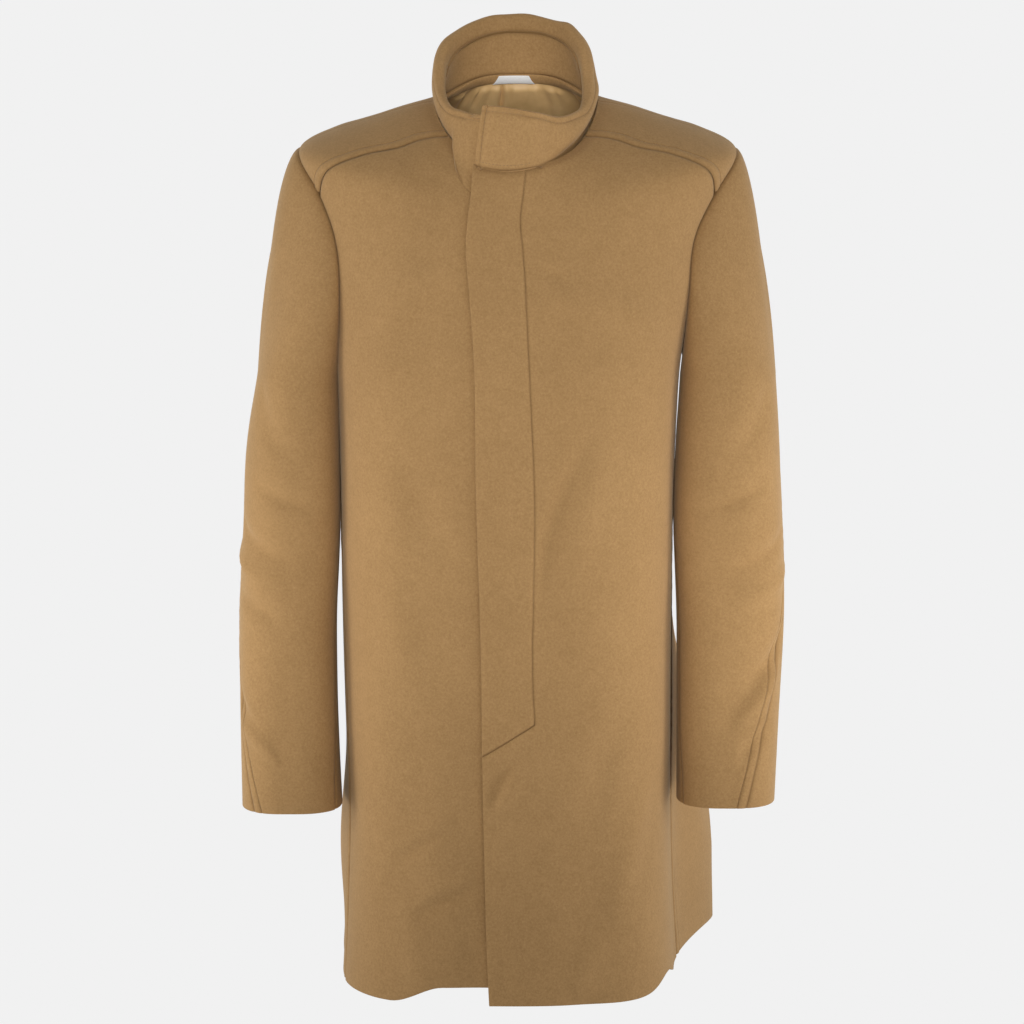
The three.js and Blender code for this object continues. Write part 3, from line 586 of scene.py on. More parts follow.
# A sheet of cloth over a grid of points in millimetres, thickened inwards with rounded edges
def clothMesh(name, points, sign, slot, wall, shade, rounding):
    rows, columns = points.shape[:2]
    mesh = bpy.data.meshes.new(name)
    bm = bmesh.new()
    bmesh.ops.create_grid(bm, x_segments=columns - 1, y_segments=rows - 1, size=0.5)
    # the "seam" attribute holds painted shade, from 0 to 1, that the wool darkens by
    seam = bm.verts.layers.float.new("seam")
    for vertex in bm.verts:
        c = round((vertex.co.x + 0.5) * (columns - 1))
        r = round((vertex.co.y + 0.5) * (rows - 1))
        vertex.co = Vector(points[r, c] * mm)
        vertex[seam] = 0 if shade is None else float(shade[r, c])
    if sign < 0:
        bmesh.ops.reverse_faces(bm, faces=bm.faces)
    for face in bm.faces:
        face.smooth = True
    bm.to_mesh(mesh)
    bm.free()
    mesh.materials.append(materials[slot])
    piece = bpy.data.objects.new(name, mesh)
    scene.collection.objects.link(piece)
    thick = piece.modifiers.new("thickness", "SOLIDIFY")
    thick.thickness = wall * mm
    thick.offset = -1
    if rounding:
        edge = piece.modifiers.new("soft edge", "BEVEL")
        edge.width = min(rounding, wall * 0.45) * mm
        edge.segments = 2
        edge.limit_method = "ANGLE"
        edge.angle_limit = math.radians(50)
    return piece


# Lengths of the longest row and longest column of a grid, and its area, in metres
def flatSize(points):
    width = lengthAlong(points, 1)[:, -1].max() * mm
    length = lengthAlong(points, 0)[-1].max() * mm
    across, down = np.diff(points, axis=1)[:-1], np.diff(points, axis=0)[:, :-1]
    area = np.linalg.norm(np.cross(across, down), axis=-1).sum() * mm * mm
    return round(width, 3), round(length, 3), round(area, 4)


flatSizes = {}


# turned is cloth turned under at the edges, in metres
def clothPiece(node, points, sign, slot="wool", wall=cloth["wall"], paintedShades=(),
               rounding=cloth["round"], turned=0):
    # painted shade of the cloth: the darkest of the masks is kept at each point
    shade = np.maximum.reduce(paintedShades) if paintedShades else None
    piece = clothMesh(node + "_cloth", points, sign, slot, wall, shade, rounding)
    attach(piece, "root")
    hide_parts(node)
    width, length, area = flatSize(points)
    width, length = width + turned, length + turned
    flatSizes[node] = (width, length, area)


# Distance of each point of a grid from its first column, last column, first row and last row
def edgeDistances(points):
    across, up = lengthAlong(points, 1), lengthAlong(points, 0)
    return {"start": across, "end": across[:, -1:] - across, "low": up, "top": up[-1:] - up}


# How far the cloth is drawn in at a seam, with the welt and groove of stitching beside it
def seamForm(distance, dip=cloth["seamDip"], stitched=False):
    depth = -dip * bell(distance, cloth["seamWidth"])
    if stitched:
        inset = cloth["stitchInset"]
        welt = np.clip(distance / inset, 0, 1)
        depth = depth + 0.45 * np.sin(np.pi * welt) ** 0.7 * (distance < inset)
        depth = depth - 0.6 * bell(distance - inset, 0.8)
    return depth


# Painted shade, from 0 to 1, that darkens the cloth in a seam and in the groove of the stitching
def paintedSeamShade(distance, width=1.6):
    return bell(distance, width)


def paintedStitchShade(distance, inset=cloth["stitchInset"]):
    return 0.4 * bell(distance - inset, 0.9)


# Small waves along a stitched seam
def puckers(run, distance, height, length=9):
    inset = cloth["stitchInset"]
    wave = np.sin(fullTurn * run / length) * np.sin(fullTurn * run / (length * 2.7) + 1)
    return height * wave * bell(distance - inset / 2, inset)


# Line of points on a grid at a distance from its first or last column
def lineAt(points, distance, inset):
    rows = []
    for row, far in zip(points, distance):
        order = np.argsort(far)
        rows.append([np.interp(inset, far[order], row[order, axis]) for axis in range(3)])
    return np.array(rows)


stitchLines = []


def addStitchLine(points, normals, distance, inset=cloth["stitchInset"], lift=0.12):
    line = lineAt(points, distance, inset)
    facing = lineAt(normals, distance, inset)
    stitchLines.append((line + facing * lift, facing))


# Row numbers with parts, so that rows are about one pitch apart and closer by the last one
def rowNumbers(inner, outer, closeEnd=True):
    a = np.concatenate([inner[0]] + [nodes[1:] for nodes in inner[1:]])
    b = np.concatenate([outer[0]] + [nodes[1:] for nodes in outer[1:]])
    pa, pb = bodySurface(a[:, 0], a[:, 1]), bodySurface(b[:, 0], b[:, 1])
    step = np.maximum(*(np.linalg.norm(np.diff(points, axis=0), axis=1) for points in (pa, pb)))
    numbers = []
    for i, length in enumerate(step):
        count = max(1, round(length / cloth["pitch"]))
        numbers += [i + k / count for k in range(count)]
    last = len(step)
    if closeEnd:
        numbers = [n for n in numbers if n < last - 8 / step[-1]]
        numbers += [last - far / step[-1] for far in (8, 5.6, 3.8, 2.4, 1.2)]
    return np.array(numbers + [last])


# Surface of a body panel between two runs, its top rows bent to a line of its own
def panelPlace(inner, outer, topRow, numbers, bendFrom):
    last = numbers[-1]
    a, b = runAt(inner, numbers), runAt(outer, numbers)
    bend = np.maximum(0, (numbers - bendFrom) / (last - bendFrom)) ** cut["bendPower"]

    def place(u):
        straight = [mix(a[:, k:k + 1], b[:, k:k + 1], u) for k in (0, 1)]
        top = topRow(u)
        lean = [top[k] - mix(a[-1, k], b[-1, k], u) for k in (0, 1)]
        return [straight[k] + bend[:, None] * lean[k] for k in (0, 1)]
    return place


def yokeRow(side, u):
    return [side * along(yokeSeam, "step", "angle", 1 - u), along(yokeSeam, "step", "level", 1 - u)]


def lapAt(angle):
    return -cloth["underLap"] * softStep(cloth["lapFrom"], cloth["lapTo"], angle)


# Points of the body at a grid of angles and levels, with normals and distances from the edges
def panelBase(angle, level, sign):
    base = bodySurface(angle, level)
    return base, gridNormals(base, sign), edgeDistances(base)


# Depth of the body's creases and waves at a grid of angles and levels
def bodyRelief(angle, level, seed):
    x = angle * mmPerDegree["body"]
    calm = softStep(120, 60, level)
    wave = softWaves(x, level, 0.9, seed) * calm
    onBack = np.where(angle > 0, angle, angle + 360) * mmPerDegree["body"]
    return wave + creaseDepth(frontCreases, x, level) + creaseDepth(backCreases, onBack, level)


# Drawn in at the side seam, and less so at the armhole above it
def sideForm(distance, numbers, stitched=False):
    above = softStep(len(rowLevels) - 1.6, len(rowLevels) - 1, numbers)[:, None]
    atSeam = seamForm(distance, cloth["seamDip"], stitched)
    return mix(atSeam, seamForm(distance, cloth["armholeDip"]), above)


def frontOuter(hand):
    side = -1 if hand == "right" else 1
    return [seamRun(hand), armholeRun(side, armhole["steps"] // 2, armhole["yokeStep"])]


frontRight = {"neckSteps": 5, "riseFrom": -44, "riseTo": -26}


# How near a row is to the hem: 1 at the first row, 0 from the second one up
def nearHem(numbers):
    return np.clip(1 - numbers, 0, 1)[:, None]


def addFrontRight():
    outer = frontOuter("right")
    neckCount = frontRight["neckSteps"]
    upCount = sum(len(nodes) for nodes in outer) - 1 - len(rowLevels) - neckCount
    levels = np.concatenate([rowLevels, np.linspace(cut["armpit"], cut["neck"], upCount + 1)[1:]])
    edge = np.stack([np.full(len(levels), cut["underEdge"]), levels], -1)
    inner = [edge, neckRun(cut["underEdge"], -cut["yokeNeckAngle"], neckCount)]
    numbers = rowNumbers(inner, outer)
    place = panelPlace(inner, outer, lambda u: yokeRow(-1, u), numbers, len(rowLevels))
    u = spread(bodySurface, place, len(numbers), "free", "seam")
    angle, level = place(u)
    rise = softStep(frontRight["riseFrom"], frontRight["riseTo"], angle)
    level = level + cut["underHemRise"] * rise * nearHem(numbers)
    base, normal, far = panelBase(angle, level, -1)
    depth = lapAt(angle) + bodyRelief(angle, level, 3) + sideForm(far["end"], numbers) + seamForm(far["top"])
    points = base + normal * depth[..., None]
    paintedShades = [paintedSeamShade(far["end"]), paintedSeamShade(far["top"])]
    clothPiece("front_right", points, -1, paintedShades=paintedShades)


def footNodes():
    f = np.linspace(0, 1, flyFoot["steps"] + 1)
    return onFront(mix(*flyFoot["x"], f), mix(*flyFoot["z"], f))


# Where the hem rises on the left front and on the flare, and where the front edge drops
hemLift = {
    "angle": 62, "width": 10, "rise": 14, "flareAngle": 112, "flareWidth": 13, "flareRise": 10,
    "edgeAngle": -12, "edgeWidth": 9, "edgeDrop": 4,
}
# Depth of the line of stitching that holds the fly, along its slanted foot and above it
flyDip = {"foot": 1.1, "above": 0.55, "width": 1.6}


def addFrontLeft():
    outer = frontOuter("left")
    below = onLine(frontEdgeLine, edgeHeights)
    neckEnd = onLine(flyStitchLine, cut["neckFrontZ"])[0]
    upper = np.concatenate([onLine(flyStitchLine, flyHeights), [[neckEnd, cut["neck"]]]])
    count = len(below) + flyFoot["steps"] - 1 + len(upper)
    neckCount = sum(len(nodes) for nodes in outer) - 1 - count
    inner = [below, footNodes(), upper, neckRun(neckEnd, cut["yokeNeckAngle"], neckCount)]
    numbers = rowNumbers(inner, outer)
    place = panelPlace(inner, outer, lambda u: yokeRow(1, u), numbers, len(rowLevels))
    u = spread(bodySurface, place, len(numbers), "seam", "seam")
    angle, level = place(u)
    lift = hemLift["rise"] * bell(angle - hemLift["angle"], hemLift["width"])
    lift = lift - hemLift["edgeDrop"] * bell(angle - hemLift["edgeAngle"], hemLift["edgeWidth"])
    level = level + lift * nearHem(numbers)
    base, normal, far = panelBase(angle, level, 1)
    footStart = len(below) - 1
    footEnd = footStart + flyFoot["steps"]
    onFoot = (numbers > footStart + 0.1) & (numbers < footEnd)
    dip = np.where(onFoot, flyDip["foot"], flyDip["above"] * (numbers >= footEnd))[:, None]
    depth = bodyRelief(angle, level, 3) + sideForm(far["end"], numbers) + seamForm(far["top"])
    depth = depth - dip * bell(far["start"], flyDip["width"])
    points = base + normal * depth[..., None]
    paintedShades = [paintedSeamShade(far["end"]), paintedSeamShade(far["top"])]
    # painted shade in the groove of the fly's stitching, strongest along its slanted foot
    paintedShades.append(dip / flyDip["foot"] * paintedSeamShade(far["start"], 1.2))
    clothPiece("front_left", points, 1, paintedShades=paintedShades)


# Fly strip: depth and width of the dip at each edge, how far it swells beyond its foot, and the
# pitch of its columns
placket = {"end": (1.0, 1.6), "low": (1.2, 1.5), "start": (0.5, 3.5), "swell": 0.45, "pitch": 4.5}
placketRows = [0, 0.045, 0.09, 0.135, 0.2025, 0.2925, 0.405]


# The fly strip: rows run from the free edge to the stitching line
def addPlacket():
    rise = cut["neckFrontZ"] + cut["placketRise"]
    heights = np.array(flyHeights[1:] + [cut["neckFrontZ"], rise], float)
    edge = np.concatenate([footNodes()[:1], onLine(frontEdgeLine, heights)])
    stitch = np.concatenate([footNodes()[-1:], onLine(flyStitchLine, heights)])
    stitch[-1] = [stitch[-2][0], onFront(np.array(0.0), np.array(float(rise)))[1]]
    numbers = rowNumbers([edge], [stitch], closeEnd=False)
    numbers = np.array(placketRows + [n for n in numbers if n > 0.5])
    a, b = runAt([edge], numbers), runAt([stitch], numbers)

    def place(u):
        return [mix(a[:, k:k + 1], b[:, k:k + 1], u) for k in (0, 1)]
    u = spread(bodySurface, place, len(numbers), "free", "seam", placket["pitch"])
    angle, level = place(u)
    base, normal, far = panelBase(angle, level, 1)
    depth = bodyRelief(angle, level, 3) + placket["swell"] * softStep(0, 8, far["low"])
    for edge in ("end", "low", "start"):
        dip, width = placket[edge]
        depth = depth - dip * bell(far[edge], width)
    points = base + normal * depth[..., None]
    # painted shade along the edges, and a painted shadow on the top of the strip under the collar's tab
    paintedShades = [0.6 * paintedSeamShade(far["end"], 1.2), paintedSeamShade(far["low"], 1.2), 0.9 * paintedSeamShade(far["top"], 7)]
    clothPiece("placket", points, 1, paintedShades=paintedShades)


# A shoulder yoke: its lines run along the forward seam, from the neck to the armhole
def addYoke(hand):
    side = -1 if hand == "right" else 1
    probe = np.linspace(0, 1, 61)

    def places(u, v):
        low = yokeRow(side, u)
        high = [0 * u + side * 90, mix(cut["neck"], cut["shoulder"], u)]
        arm = armholePlace(side, 360 / armhole["steps"] * armhole["yokeStep"] * (1 - v))
        lowEnd = [float(value[0]) for value in yokeRow(side, np.array([1.0]))]
        highEnd = [side * 90, cut["shoulder"]]
        pull = [arm[..., k] - mix(lowEnd[k], highEnd[k], v) for k in (0, 1)]
        return [mix(low[k], high[k], v) + u ** 4 * pull[k] for k in (0, 1)]
    run = bodySurface(*yokeRow(side, probe))
    total = lengthAlong(run, 0)
    stops = np.array(lineStops["seam"])
    middle = np.linspace(stops[-1], total[-1] - stops[-1], round(total[-1] / cloth["pitch"]))[1:-1]
    wanted = np.concatenate([stops, middle, total[-1] - stops[::-1]])
    across = np.interp(wanted, total, probe)[:, None]

    def place(v):
        return places(across + 0 * v, v)
    v = spread(bodySurface, place, len(wanted), "stitched", "seam", 4)
    angle, level = place(v)
    base, normal, far = panelBase(angle, level, -side)
    depth = seamForm(far["start"], 1.3, True) + seamForm(far["top"], cloth["armholeDip"])
    depth = depth + seamForm(far["end"], 0.4)
    depth = depth + puckers(far["low"], far["start"], 0.28) + bodyRelief(angle, level, 3) * 0.4
    points = base + normal * depth[..., None]
    paintedShades = [paintedSeamShade(far["start"]), 0.6 * paintedSeamShade(far["top"]), 0.3 * paintedSeamShade(far["end"])]
    paintedShades.append(paintedStitchShade(far["start"]))
    clothPiece(f"yoke_{hand}", points, -side, paintedShades=paintedShades)
    addStitchLine(points, normal, far["start"])


# The top of the back goes up one shoulder ridge, round the neck and down the other ridge
def backTopRow(u):
    u = np.clip(u, 0, 1)
    levels = [cut["shoulder"], cut["neck"], cut["neck"], cut["shoulder"]]
    return [np.interp(u, [0.25, 0.75], [90, 270]), np.interp(u, [0, 0.25, 0.75, 1], levels)]


def addBack():
    half = armhole["steps"] // 2
    leftEdge = [seamRun("left"), armholeRun(1, half, armhole["steps"])]
    rightEdge = [seamRun("right") + [360, 0], armholeRun(-1, half, armhole["steps"]) + [360, 0]]
    numbers = rowNumbers(leftEdge, rightEdge)
    place = panelPlace(leftEdge, rightEdge, backTopRow, numbers, len(rowLevels) - 4)
    u = spread(bodySurface, place, len(numbers), "stitched", "stitched", 6)
    angle, level = place(u)
    flare = bell(angle - hemLift["flareAngle"], hemLift["flareWidth"])
    level = level + hemLift["flareRise"] * flare * nearHem(numbers)
    base, normal, far = panelBase(angle, level, 1)
    below = (level[:, :1] < cut["armpit"] + 2).astype(float)
    depth = bodyRelief(angle, level, 8) + seamForm(far["top"], 0.5)
    for end in ("start", "end"):
        depth = depth + sideForm(far[end], numbers, True)
        depth = depth + below * puckers(far["low"], far[end], 0.25)
    points = base + normal * depth[..., None]
    paintedShades = [0.4 * paintedSeamShade(far["top"])]
    for end in ("start", "end"):
        paintedShades += [paintedSeamShade(far[end]), below * paintedStitchShade(far[end])]
    clothPiece("back", points, 1, paintedShades=paintedShades)
    rows = numbers <= len(rowLevels) - 1
    for end in ("start", "end"):
        addStitchLine(points[rows], normal[rows], far[end][rows])


# Point of a sleeve: row from -1 to 0 is the cap, above 0 it is the height below the armpit ring
def sleeveSurface(hand, turn, row):
    side = -1 if hand == "right" else 1
    sections = sleeveSections[hand]
    first = sections["down"][0]

    def ring(down):
        outer, inner, middleY, halfY = (along(sections, "down", name, down) for name in list(sections)[1:5])
        s, c = np.sin(np.radians(turn)), np.cos(np.radians(turn))
        square = sleeve["square"]
        radius = (np.abs(c / ((outer - inner) / 2)) ** square + np.abs(s / halfY) ** square) ** (-1 / square)
        for angle, z, halfAngle, halfHeight, slant, depth in zip(*sleeveFolds[hand].values()):
            aside = angleBetween(turn, angle)
            radius = radius + depth * bell(aside, halfAngle) * bell(-down - z - slant * aside, halfHeight)
        lean = sleeve["lean"] * (0.3 + 0.7 * softStep(520, 400, down)) * softStep(680, 600, down)
        lean = lean * bell(angleBetween(turn, sleeve["leanAt"]), sleeve["leanWidth"])
        x = (outer + inner) / 2 + radius * c - lean
        return np.stack([side * x, middleY - radius * s, -down + 0 * turn], -1)
    f = np.clip(1 + row, 0, 1)
    place = armholePlace(side, turn, armhole["gap"])
    start = bodySurface(place[..., 0], place[..., 1])
    outwards = start * [1, 1, 0]
    outwards = outwards / np.linalg.norm(outwards, axis=-1, keepdims=True)
    start = start + outwards * np.where(f < 0.002, -sleeve["turnIn"], sleeve["lift"])[..., None]
    swell = sleeve[hand] * np.sin(np.pi * np.sqrt(f)) * (1 + np.cos(np.radians(turn))) / 2
    cap = mix(start, ring(first + 0 * row), f[..., None])
    cap[..., 0] += side * swell * np.cos(np.radians(turn))
    cap[..., 1] -= swell * np.sin(np.radians(turn))
    return np.where((row <= 0)[..., None], cap, ring(first + np.maximum(row, 0)))


def sleeveElbow(hand, row):
    sections = sleeveSections[hand]
    cap = mix(sleeve["elbowAtArmhole"], sections["elbow"][0], 1 + row)
    return np.where(row <= 0, cap, along(sections, "down", "elbow", sections["down"][0] + row))


# Rows of the cap as parts of its height, close together at the armhole
capRows = np.concatenate([[0, 0.006, 0.012, 0.02, 0.03, 0.045, 0.065, 0.09], np.linspace(0.12, 0.97, 32)])


def addSleeve(hand):
    side = -1 if hand == "right" else 1
    sections = sleeveSections[hand]
    length = sections["down"][-1] - sections["down"][0]
    lower = np.linspace(0, length - 5, round(length / cloth["pitch"]))
    rows = np.concatenate([capRows - 1, lower, [length - 1.6, length]])[:, None]
    ends = {
        "top": (sleeveElbow(hand, rows), sleeve["foreSeam"] + 0 * rows, "stitched", "seam"),
        "under": (sleeve["foreSeam"] + 0 * rows, sleeveElbow(hand, rows) + 360, "seam", "seam"),
    }
    for part, (first, last, startKind, endKind) in ends.items():
        def surface(turn, row):
            return sleeveSurface(hand, turn, row)

        def place(u):
            return [mix(first, last, u), rows + 0 * u]
        u = spread(surface, place, len(rows), startKind, endKind)
        turn, row = place(u)
        base = surface(turn, row)
        normal = gridNormals(base, side)
        far = edgeDistances(base)
        x = np.where(turn > 300, turn - 360, turn) * mmPerDegree["sleeve"]
        height = base[..., 2]
        stitched = part == "top"
        relief = creaseDepth(sleeveCreases[hand], x, height)
        relief = relief + softWaves(x * 1.4, height, 0.8, 5 if stitched else 6)
        depth = relief * softStep(0, 40, far["low"]) + seamForm(far["start"], 1.2, stitched)
        depth = depth + seamForm(far["end"], 1.0) + seamForm(far["low"], 0.3)
        paintedShades = [paintedSeamShade(far["start"]), paintedSeamShade(far["end"]), paintedSeamShade(far["low"], 2.2)]
        if stitched:
            depth = depth + puckers(far["low"], far["start"], 0.3)
            paintedShades.append(paintedStitchShade(far["start"]))
        points = base + normal * depth[..., None]
        clothPiece(f"sleeve_{part}_{hand}", points, side, paintedShades=paintedShades)
        if stitched:
            addStitchLine(points, normal, far["start"])


# Radius of the body where it lies this far below the neck seam
def footRadius(angle, fall):
    points = np.array([bodySurface(angle, 0 * angle + cut["neck"] - step) for step in range(0, 90, 3)])
    below, out = points[0, :, 2] - points[:, :, 2], np.hypot(points[:, :, 0], points[:, :, 1])
    return np.array([np.interp(fall[k], below[:, k], out[:, k]) for k in range(len(angle))])


# Sizes of the collar at each turn from the centre front
def collarRow(turn):
    angle = -turn
    neck = bodySurface(angle, 0 * turn + cut["neck"])
    onTab = collar["tabLift"] * softStep(collar["tabFrom"], collar["tabTo"], turn)
    onTab = onTab + collar["tabEndLift"] * softStep(collar["tabTo"], collar["tabEnd"], turn)
    share = softStep(*collarFoot["free"], turn) * softStep(*collarFoot["under"], turn)
    fall = collarFoot["fall"] * share
    turnedIn = 3 * softStep(collar["tabFrom"], collar["tabFrom"] - 8, turn) + 0.5
    overlap = np.where(turn > 180, onTab, lapAt(angle))
    hang, rimZ, roll, drop = (along(collarSections, "turn", name, turn) for name in list(collarSections)[1:])
    rim = ovalRadius(angle, collar["right"], collar["left"], collar["front"], collar["back"], 2)
    return {
        "angle": angle, "seam": footRadius(angle, fall) + overlap + collarFoot["lift"] * share,
        "seamZ": neck[:, 2] + collar["gap"] - hang - fall, "rim": rim + overlap, "rimZ": rimZ,
        "roll": roll, "drop": drop, "bow": collar["bow"] - collarFoot["flatter"] * share,
        "turnIn": turnedIn,
    }


# Outer collar from its seam over the roll to the crease inside, as radius and height at nodes
def collarNodes(row):
    seam, rim, low, high, roll, drop = (row[key] for key in ("seam", "rim", "seamZ", "rimZ", "roll", "drop"))
    rise, knee = high - low, roll * 0.5
    upperBow = mix(collar["bow"], row["bow"], 0.5)
    return [
        (seam - row["turnIn"], low - 1.6 * row["turnIn"]), (seam, low),
        (mix(seam, rim, 0.3) + row["bow"], low + rise * 0.25),
        (mix(seam, rim, 0.65) + upperBow, low + (rise - knee) * 0.6), (rim, high - knee),
        (rim - roll * 0.15, high - knee * 0.3), (rim - roll * 0.5, high),
        (rim - roll * 0.85, high - knee * 0.35),
        (rim - roll, high - np.maximum(knee, drop * 0.6)), (rim - roll, high - drop),
    ]


# Grid of points from a curve through nodes of radius and height, one column for each angle
def profileGrid(nodes, numbers, angle):
    numbered = {"step": np.arange(len(nodes), dtype=float)}
    columns = []
    for c in range(len(angle)):
        values = []
        for k in (0, 1):
            numbered["value"] = np.array([node[k][c] for node in nodes])
            values.append(along(numbered, "step", "value", numbers))
        s, cosine = math.sin(math.radians(angle[c])), math.cos(math.radians(angle[c]))
        columns.append(np.stack([values[0] * s, -values[0] * cosine, values[1]], -1))
    return np.stack(columns)


# Turns of the collar, close together at both ends
def collarTurns(first, last, ends):
    middle = np.linspace(first + ends[-1], last - ends[-1], round((last - first) / 2.2))
    return np.concatenate([first + np.array(ends[:-1]), middle, last - np.array(ends[:-1])[::-1]])


# Soft dents and puckers of the rolled rim, and its corner
def rimWaves(turns, numbers):
    onRim = bell(numbers - 6, 1.3)[None, :]
    turn = turns[:, None]
    waves = 1.1 * np.sin(turn / 7 + 2 * np.sin(turn / 31)) * bell(turn - 130, 40)
    waves = waves + 0.6 * np.sin(turn / 4.3 + 1) * bell(turn - 100, 60)
    for height, at, width in zip(*rimCorner.values()):
        waves = waves + height * bell(turn - at, width)
    return onRim * waves


# Lines of the outer collar, as node numbers, and its columns near each end, as turns from that end
collarLines = np.concatenate([
    [0, 0.5, 1, 1.06, 1.14, 1.3, 1.5, 1.75, 2, 2.3, 2.6, 2.9, 3.15, 3.35, 3.5, 3.62, 3.72, 3.82],
    np.linspace(4, 8, 17)[:-1], [8, 8.4, 8.8, 9],
])
collarEnds = [0, 0.9, 1.7, 2.3, 2.75, 3.2, 4.2, 6]
# Lines from the seam to the rim, which the topstitching lies on
collarFace = slice(2, 28)


def addCollarOuter():
    turns = collarTurns(collarSections["turn"][0], collarSections["turn"][-1], collarEnds)
    row = collarRow(turns)
    points = profileGrid(collarNodes(row), collarLines, row["angle"])
    endness = softStep(collar["tabTo"], turns[-1], turns)
    tall = (points[..., 2] - row["seamZ"][:, None]) / (row["rimZ"] - row["seamZ"])[:, None]
    points[..., 0] += endness[:, None] * collar["tabSlant"] * tall
    normal = gridNormals(points, 1)
    away = points * [1, 1, 0]
    sign = 1 if (normal[:, 2:8] * away[:, 2:8]).sum() > 0 else -1
    normal = normal * sign
    far = edgeDistances(points)
    far["start"] = np.abs(far["start"] - far["start"][:, 2:3])
    rimLine = far["start"][:, collarLines.searchsorted(4.5)][:, None]
    far["rim"] = rimLine - far["start"]
    inset = collar["stitchInset"]
    # stitching runs along the top, down the free end and back along the tab's lower edge
    onFace = far["start"] < rimLine
    tabSide = softStep(collar["tabFrom"], collar["tabTo"], turns)[:, None]
    groove = collar["groove"]
    depth = -groove * bell(far["rim"] - inset, 1) * onFace
    depth = depth - groove * bell(far["top"] - inset, 1) * (far["top"] < 12)
    depth = depth - groove * tabSide * bell(far["start"] - inset, 0.8)
    depth = depth - 0.9 * (1 - tabSide) * bell(far["start"], 2)
    depth = depth + softWaves(turns[:, None] * 1.7 + 0 * far["rim"], far["start"] * 2, 0.5, 12)
    tucked = softStep(*collarTuck["from"], turns) * softStep(*collarTuck["to"], turns)
    tuck = collarTuck["swell"] * bell(far["start"] - collarTuck["swellAt"], collarTuck["swellWidth"])
    tuck = tuck - collarTuck["dip"] * bell(far["start"], collarTuck["dipWidth"])
    depth = depth + tucked[:, None] * tuck + rimWaves(turns, collarLines)
    points = points + normal * depth[..., None]
    # painted shade in the seam, along the crease under the rolled rim and in the stitching grooves, and a
    # painted shadow where the foot is tucked under the fall
    paintedShades = [
        (1 - 0.3 * tabSide) * paintedSeamShade(far["start"], 1.8), paintedSeamShade(far["end"], 2.4),
        tucked[:, None] * paintedSeamShade(far["start"], collarTuck["shadeWidth"]),
        paintedStitchShade(far["rim"], inset) * onFace, paintedStitchShade(far["top"], inset),
        tabSide * paintedStitchShade(far["start"], inset),
    ]
    clothPiece("collar_outer", points, sign, "wool_collar", collar["wall"], paintedShades)
    return points, normal, far, turns


def addCollarInner():
    turns = np.linspace(collar["innerFrom"], collar["innerTo"], 150)
    row = collarRow(turns)
    high, highZ = row["rim"] - row["roll"], row["rimZ"] - row["drop"]
    low, lowZ = row["seam"] - collar["inset"], row["seamZ"] + 0.5
    nodes = [(high, highZ), (high, highZ - 2), (mix(high, low, 0.6), mix(highZ, lowZ, 0.6)), (low, lowZ)]
    numbers = np.array([0, 0.5, 1, 1.15, 1.3, 1.5, 1.75, 2, 2.3, 2.6, 2.8, 2.92, 3])
    points = profileGrid(nodes, numbers, row["angle"])
    normal = gridNormals(points, 1)
    sign = 1 if (normal * points * [1, 1, 0]).sum() < 0 else -1
    far = edgeDistances(points)
    depth = -0.7 * bell(far["end"], 1.6) - 1.3 * bell(far["start"], 2.2)
    depth = depth + softWaves(turns[:, None] * 2.2 + 0 * far["start"], far["start"] * 3, 0.7, 21)
    points = points + normal * sign * depth[..., None]
    # painted shade in the seam and along the crease under the rolled rim
    paintedShades = [paintedSeamShade(far["end"]), paintedSeamShade(far["start"], 2.6)]
    clothPiece("collar_inner", points, sign, "wool_collar", collar["innerWall"], paintedShades, 0.8)


# Cloth inside the neck, on the body's surface moved in
inside = {
    "facingWidth": 7.5, "facingRise": 2.2, "facingWall": 1.5, "liningDepth": -150, "sideLevel": 58,
    "labelWidth": 42, "labelHeight": 8.5, "labelX": -4, "labelRadius": 66, "labelWall": 0.8,
    "labelRise": 1, "labelTaper": 0.26, "labelTurned": 3,
}
liningPleats = table("angle width depth", [
    (234, 4.5, 4.5), (217, 4.0, 6), (209, 1.6, 2.5), (201, 2.5, 2), (192, 1.5, 5), (186, 1.6, 1.6),
    (161, 3.4, 3.2), (139, 4.8, 6), (127, 2.6, 3), (171, 2.2, 0.9), (151, 2.0, 1.3), (243, 2.2, 2.5),
])


# Grid inside the neck. taper narrows its top, and ripple gives a further depth.
def insideGrid(angle, levelAt, rows, inset, ripple=None, taper=0):
    v = np.linspace(0, 1, rows)[:, None]
    angles = angle.mean() + (angle[None, :] - angle.mean()) * (1 - taper * v)
    level = levelAt(angles, v)
    base = bodySurface(angles, level)
    normal = gridNormals(base, 1)
    depth = -inset - (0 if ripple is None else ripple(angles, v))
    return base + normal * np.broadcast_to(depth, angles.shape)[..., None]


